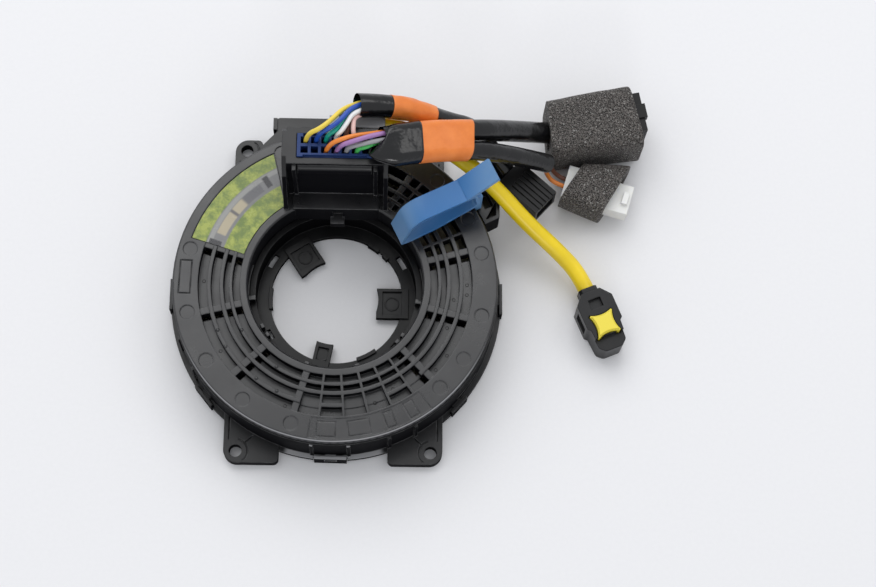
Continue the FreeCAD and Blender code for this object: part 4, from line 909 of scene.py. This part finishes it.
rings = []
for i in range(PAIR_RINGS):
    t = i / (PAIR_RINGS - 1)
    first, direction = at_share(front_line, PAIR_FRONT_FROM + PAIR_FRONT_SPAN * t)
    second, _ = at_share(lower_line, PAIR_LOWER_FROM + PAIR_LOWER_SPAN * t)
    radius = PAIR_SLEEVE / 2 + TAPE_MIDDLE
    points, up = belt(first, second, direction, radius, radius)
    for k, place in enumerate(points):
        sign = 1 if (place - (first + second) / 2).dot(up) > 0 else -1
        points[k] = place + up * sign * wrinkle(place, 190, 0.3 * MM)
    rings.append(points)
pair_tape = mesh_object("pair_tape_wrap", *bridged(rings), tape_orange)
thicken(pair_tape, TAPE_SHEET)
print("pair tape rings", len(rings))

# %% [markdown]
# Left of the tape the same sleeves lie in one flattened black wrap. It narrows to the
# bundle of wires, and its lower edge runs out in a thin fold.

# %% Flattened wrap at the left end of the pair
FOLD_TIP, MOUTH_AT = mm(11.4, 36.6, 50.2), mm(14.6, 41.0, 51.4)
WRAP_RINGS = 24
WRAP_FRONT_TO, WRAP_LOWER_TO = 0.175, 0.205
MOUTH_SHARE = 2.4     # the mouth takes up one part in this many of the wrap
FRONT_RADIUS, FRONT_LESS = 3.55, 0.5
LOWER_RADIUS, LOWER_LESS = 3.5, 2.5

rings = []
for i in range(WRAP_RINGS):
    t = i / (WRAP_RINGS - 1)
    first, direction = at_share(front_line, WRAP_FRONT_TO * t)
    second, _ = at_share(lower_line, WRAP_LOWER_TO * t)
    near = max(0.0, 1 - t * MOUTH_SHARE) ** 1.5
    first, second = first.lerp(MOUTH_AT, near), second.lerp(FOLD_TIP, near)
    points, _ = belt(first, second, direction, (FRONT_RADIUS - FRONT_LESS * near) * MM,
                     (LOWER_RADIUS - LOWER_LESS * near) * MM)
    rings.append([place + UP * wrinkle(place, 170, 0.5 * MM) for place in points])
pair_wrap = mesh_object("pair_end_wrap", *bridged(rings), sleeve_black)
thicken(pair_wrap, 0.3 * MM)
print("end wrap rings", len(rings))

# %% [markdown]
# ## Foam wraps
#
# Each wrap is a bent sheet of open-cell foam. A cloth simulation could fold one, but it
# wouldn't lie where the photograph shows it. So it is drawn in its connector's own
# directions as rings of a rounded outline, one set outside and one inside.

# %% Outline of a foam ring
FOAM_POINTS = 64
FOAM_THICK = 2.8
FOAM_CORNER, INNER_CORNER_LESS = 5.0, 0.9


def rounded_outline(left, right, low, high, corner):
    """Points of a rounded rectangle in the plane of its ring, in millimetres."""
    points = []
    for k in range(FOAM_POINTS):
        a = 2 * math.pi * (k + 0.5) / FOAM_POINTS
        c, s = math.cos(a), math.sin(a)
        reach = max(abs(c), abs(s))
        x, y = c / reach, s / reach
        wide, tall = (right - left) / 2, (high - low) / 2
        px, py = (left + right) / 2 + wide * x, (low + high) / 2 + tall * y
        ix = min(max(px, left + corner), right - corner)
        iy = min(max(py, low + corner), high - corner)
        off = math.hypot(px - ix, py - iy)
        if off > corner:
            px, py = ix + (px - ix) * corner / off, iy + (py - iy) * corner / off
        points.append((px, py))
    return points


# %% [markdown]
# A noise swells the outer skin unevenly, and a closed wrap narrows round its cord.

# %% A foam wrap
FOAM_STEPS = 16
CLOSING_LONG, CLOSING_IN = 3.0, 3.4
SWELL_GRAIN, SWELL = 0.22, 0.35
FOAM_CROWN, FOAM_RISE = 0.6, 0.8


def foam_piece(name, at, azimuth, stations, closed=False):
    """stations are (x, left, right, top, skew); a closed wrap narrows round its cord."""
    turn = Matrix.Rotation(math.radians(azimuth), 3, "Z")
    outer, inner = [], []
    for x, left, right, top, skew in stations:
        closing = max(0.0, 1 - (x - stations[0][0]) / CLOSING_LONG) if closed else 0.0
        for rings, inset in ((outer, 0.0), (inner, FOAM_THICK + closing * CLOSING_IN)):
            corner = FOAM_CORNER - min(inset, FOAM_THICK) * INNER_CORNER_LESS
            points = []
            for y, z in rounded_outline(left + inset, right - inset, inset, top - inset, corner):
                place = Vector((x + skew * y, y, z))
                swell = noise.noise(place * SWELL_GRAIN + at / MM) * (SWELL if inset == 0 else 0.0)
                place.z += max(swell, -place.z) if place.z > 1 else 0.0
                points.append(at + turn @ (place * MM))
            rings.append(points)
    rings = outer + inner[::-1] + outer[:1]
    piece = mesh_object(name, *bridged(rings), foam_grey)
    soften(piece, 0.5 * MM, 50)
    return piece


def foam_stations(first, last, near, far, top, skew):
    """near and far are (left, right) at the two ends; skew is x gained for each y."""
    rows = []
    for k in range(FOAM_STEPS + 1):
        t = k / FOAM_STEPS
        left, right = (near[i] + (far[i] - near[i]) * t for i in (0, 1))
        rise = FOAM_CROWN * math.sin(math.pi * t) + FOAM_RISE * t
        lean = skew[0] + (skew[1] - skew[0]) * t
        rows.append((first + (last - first) * t, left, right, top + rise, lean))
    return rows


# %% The two foam wraps
MAIN_AT, MAIN_TURN = mm(74.4, 59.9, 0), 11.0
upper_foam = foam_piece("upper_foam_wrap", MAIN_AT, MAIN_TURN,
                        foam_stations(-0.9, 30.2, (-11.0, 10.2), (-12.6, 10.6), 21.1,
                                      (0.10, -0.04)), closed=True)
lower_foam = foam_piece("lower_foam_wrap", WHITE_AT, WHITE_TURN,
                        foam_stations(2.2, 17.6, (-7.4, 8.8), (-9.3, 12.4), 14.1,
                                      (0.30, 0.26)))
print("upper foam vertices", len(upper_foam.data.vertices))

# %% [markdown]
# ## Small moulding marks
#
# Ejector pins left tiny rings on the floors of the pockets, and small nubs on the ribs.
# Their heights are found by looking straight down on the rotor's cover.

# %% Rings and nubs
RING_MARKS = ((179, 44.6), (212, 44.8), (249.5, 45.2), (289, 43.2), (299, 41.2), (319.5, 45),
              (327.5, 45), (339, 40.7), (356.5, 44.7), (1, 44.7), (353.5, 40.4))
NUB_MARKS = ((204, 42.6), (212.5, 42.8), (233, 42.3), (244, 42.3), (209, 35.4), (237.5, 35.2))
RING_PROFILE = ((0.62, -0.1), (0.60, 0.08), (0.52, 0.14), (0.44, 0.08), (0.40, -0.1))
NUB_PROFILE = ((0.62, -0.1), (0.60, 0.10), (0.46, 0.24), (0.24, 0.32), (0.02, 0.34))
TURNED_POINTS = 20
WELL_ABOVE = 40.0


def turned_marks(name, marks, profile, material):
    """Small turned shapes that stand on the cover at places round the axis."""
    cover = nodes_of["rotor_cover"]
    into_cover = cover.matrix_world.inverted()
    vertices, faces = [], []
    for angle, radius in marks:
        above = polar(radius, angle, WELL_ABOVE)
        _, spot, _, _ = cover.ray_cast(into_cover @ above, into_cover.to_3x3() @ -UP)
        foot = cover.matrix_world @ spot
        rings = [[foot + polar(r, 360 * k / TURNED_POINTS, z) for k in range(TURNED_POINTS)]
                 for r, z in profile]
        more_vertices, more_faces = bridged(rings)
        faces += [tuple(len(vertices) + k for k in face) for face in more_faces]
        vertices += more_vertices
    return mesh_object(name, vertices, faces, material)


turned_marks("ring_marks", RING_MARKS, RING_PROFILE, funnel_black)
turned_marks("nub_marks", NUB_MARKS, NUB_PROFILE, rotor_black)
print("marks", len(RING_MARKS) + len(NUB_MARKS))

# %% [markdown]
# A short grey strip lies behind the tower, over the start of the airbag lead. It is a
# thin bowed sheet, so a few rows of points are enough.

# %% Grey strip behind the tower
STRIP_FROM, STRIP_LONG, STRIP_WIDE = mm(-2.6, 47.0, 45.5), 18.6, 4.2
STRIP_SLANT, STRIP_BOW, STRIP_FALL = 0.2, 0.35, 1.3
STRIP_STEPS, STRIP_CUTS = 12, 5
rows = []
for i in range(STRIP_STEPS + 1):
    t = i / STRIP_STEPS
    height = STRIP_BOW * math.sin(math.pi * t) - STRIP_FALL * t
    rows.append([STRIP_FROM + mm(STRIP_LONG * t, STRIP_WIDE * k / STRIP_CUTS + STRIP_SLANT * t,
                                 height) for k in range(STRIP_CUTS + 1)])
strip = mesh_object("grey_strip", *bridged(rows, closed_ring=False), strip_grey)
thicken(strip, 0.5 * MM)
soften(strip, 0.15 * MM, 30)
print("grey strip rows", len(rows))

# %% [markdown]
# ## Floor, light and backdrop
#
# The photograph's background is an even near-white. A wide paper floor under an even sky
# gives that, and keeps a soft shadow that shows where the part stands.

# %% Floor
PAPER_DARK, PAPER_LIGHT = (0.775, 0.773, 0.787), (0.805, 0.803, 0.817)
FLOOR_HALF = 2.0
floor_material, tree, shader = new_material("floor_paper")
fibre = texture(tree, "TexNoise", {"Scale": 700.0, "Detail": 3.0})
join(tree, mix_colour(tree, fibre.outputs["Fac"], PAPER_DARK, PAPER_LIGHT),
     shader.inputs["Base Color"])
shader.inputs["Roughness"].default_value = 0.8
shader.inputs["Specular IOR Level"].default_value = 0.1
corners = [(-FLOOR_HALF, -FLOOR_HALF, 0), (FLOOR_HALF, -FLOOR_HALF, 0),
           (FLOOR_HALF, FLOOR_HALF, 0), (-FLOOR_HALF, FLOOR_HALF, 0)]
floor = mesh_object("floor", corners, [(0, 1, 2, 3)], floor_material, body="stator", smooth=False)
print("floor", 2 * FLOOR_HALF, "m wide")

# %% [markdown]
# Square lights give black plastic its broad soft shine. The back one makes the level
# faces shine, the key gives the shadows a side, and the front one catches the walls that
# face the camera. Radiance is a light's brightness, whatever its size.

# %% Lights
SKY_COLOUR, SKY_STRENGTH = (0.95, 0.97, 1.0, 1), 0.72
world = bpy.data.worlds.new("studio")
world.use_nodes = True
world.node_tree.nodes["Background"].inputs["Color"].default_value = SKY_COLOUR
world.node_tree.nodes["Background"].inputs["Strength"].default_value = SKY_STRENGTH
bpy.context.scene.world = world


def soft_box(name, direction, distance, side, radiance, colour=(1, 1, 1)):
    """A square light that faces the middle of the part."""
    data = bpy.data.lights.new(name, "AREA")
    data.size = side
    data.energy = radiance * math.pi * side * side
    data.color = colour
    light = bpy.data.objects.new(name, data)
    light.location = Vector(direction).normalized() * distance
    light.rotation_euler = Vector(direction).to_track_quat("Z", "Y").to_euler()
    bpy.context.scene.collection.objects.link(light)


soft_box("back", (-0.14, 0.60, 0.79), distance=1.6, side=1.4, radiance=2.2)
soft_box("key", (0.55, 0.35, 0.76), distance=1.5, side=0.45, radiance=2.0,
         colour=(1.0, 0.99, 0.97))
soft_box("front", (0.1, -0.90, 0.42), distance=1.5, side=0.3, radiance=8.0)
bpy.context.scene.view_settings.view_transform = "Standard"
print("lights", len(bpy.data.lights))

# %% [markdown]
#
# The CAD model has a plain solid for each soft piece. The pieces made here stand in for
# those in the picture, and the solids stay for the physics.

# %% Which pieces stand for which CAD nodes
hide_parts("rear_sleeve")
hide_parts("front_sleeve")
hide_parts("lower_sleeve")
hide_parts("airbag_lead")
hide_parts("rear_tape")
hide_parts("pair_tape")
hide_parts("upper_foam")
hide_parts("lower_foam")
for name, cord in wire_objects.items():
    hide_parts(name)
print("wires replaced", len(wire_objects))
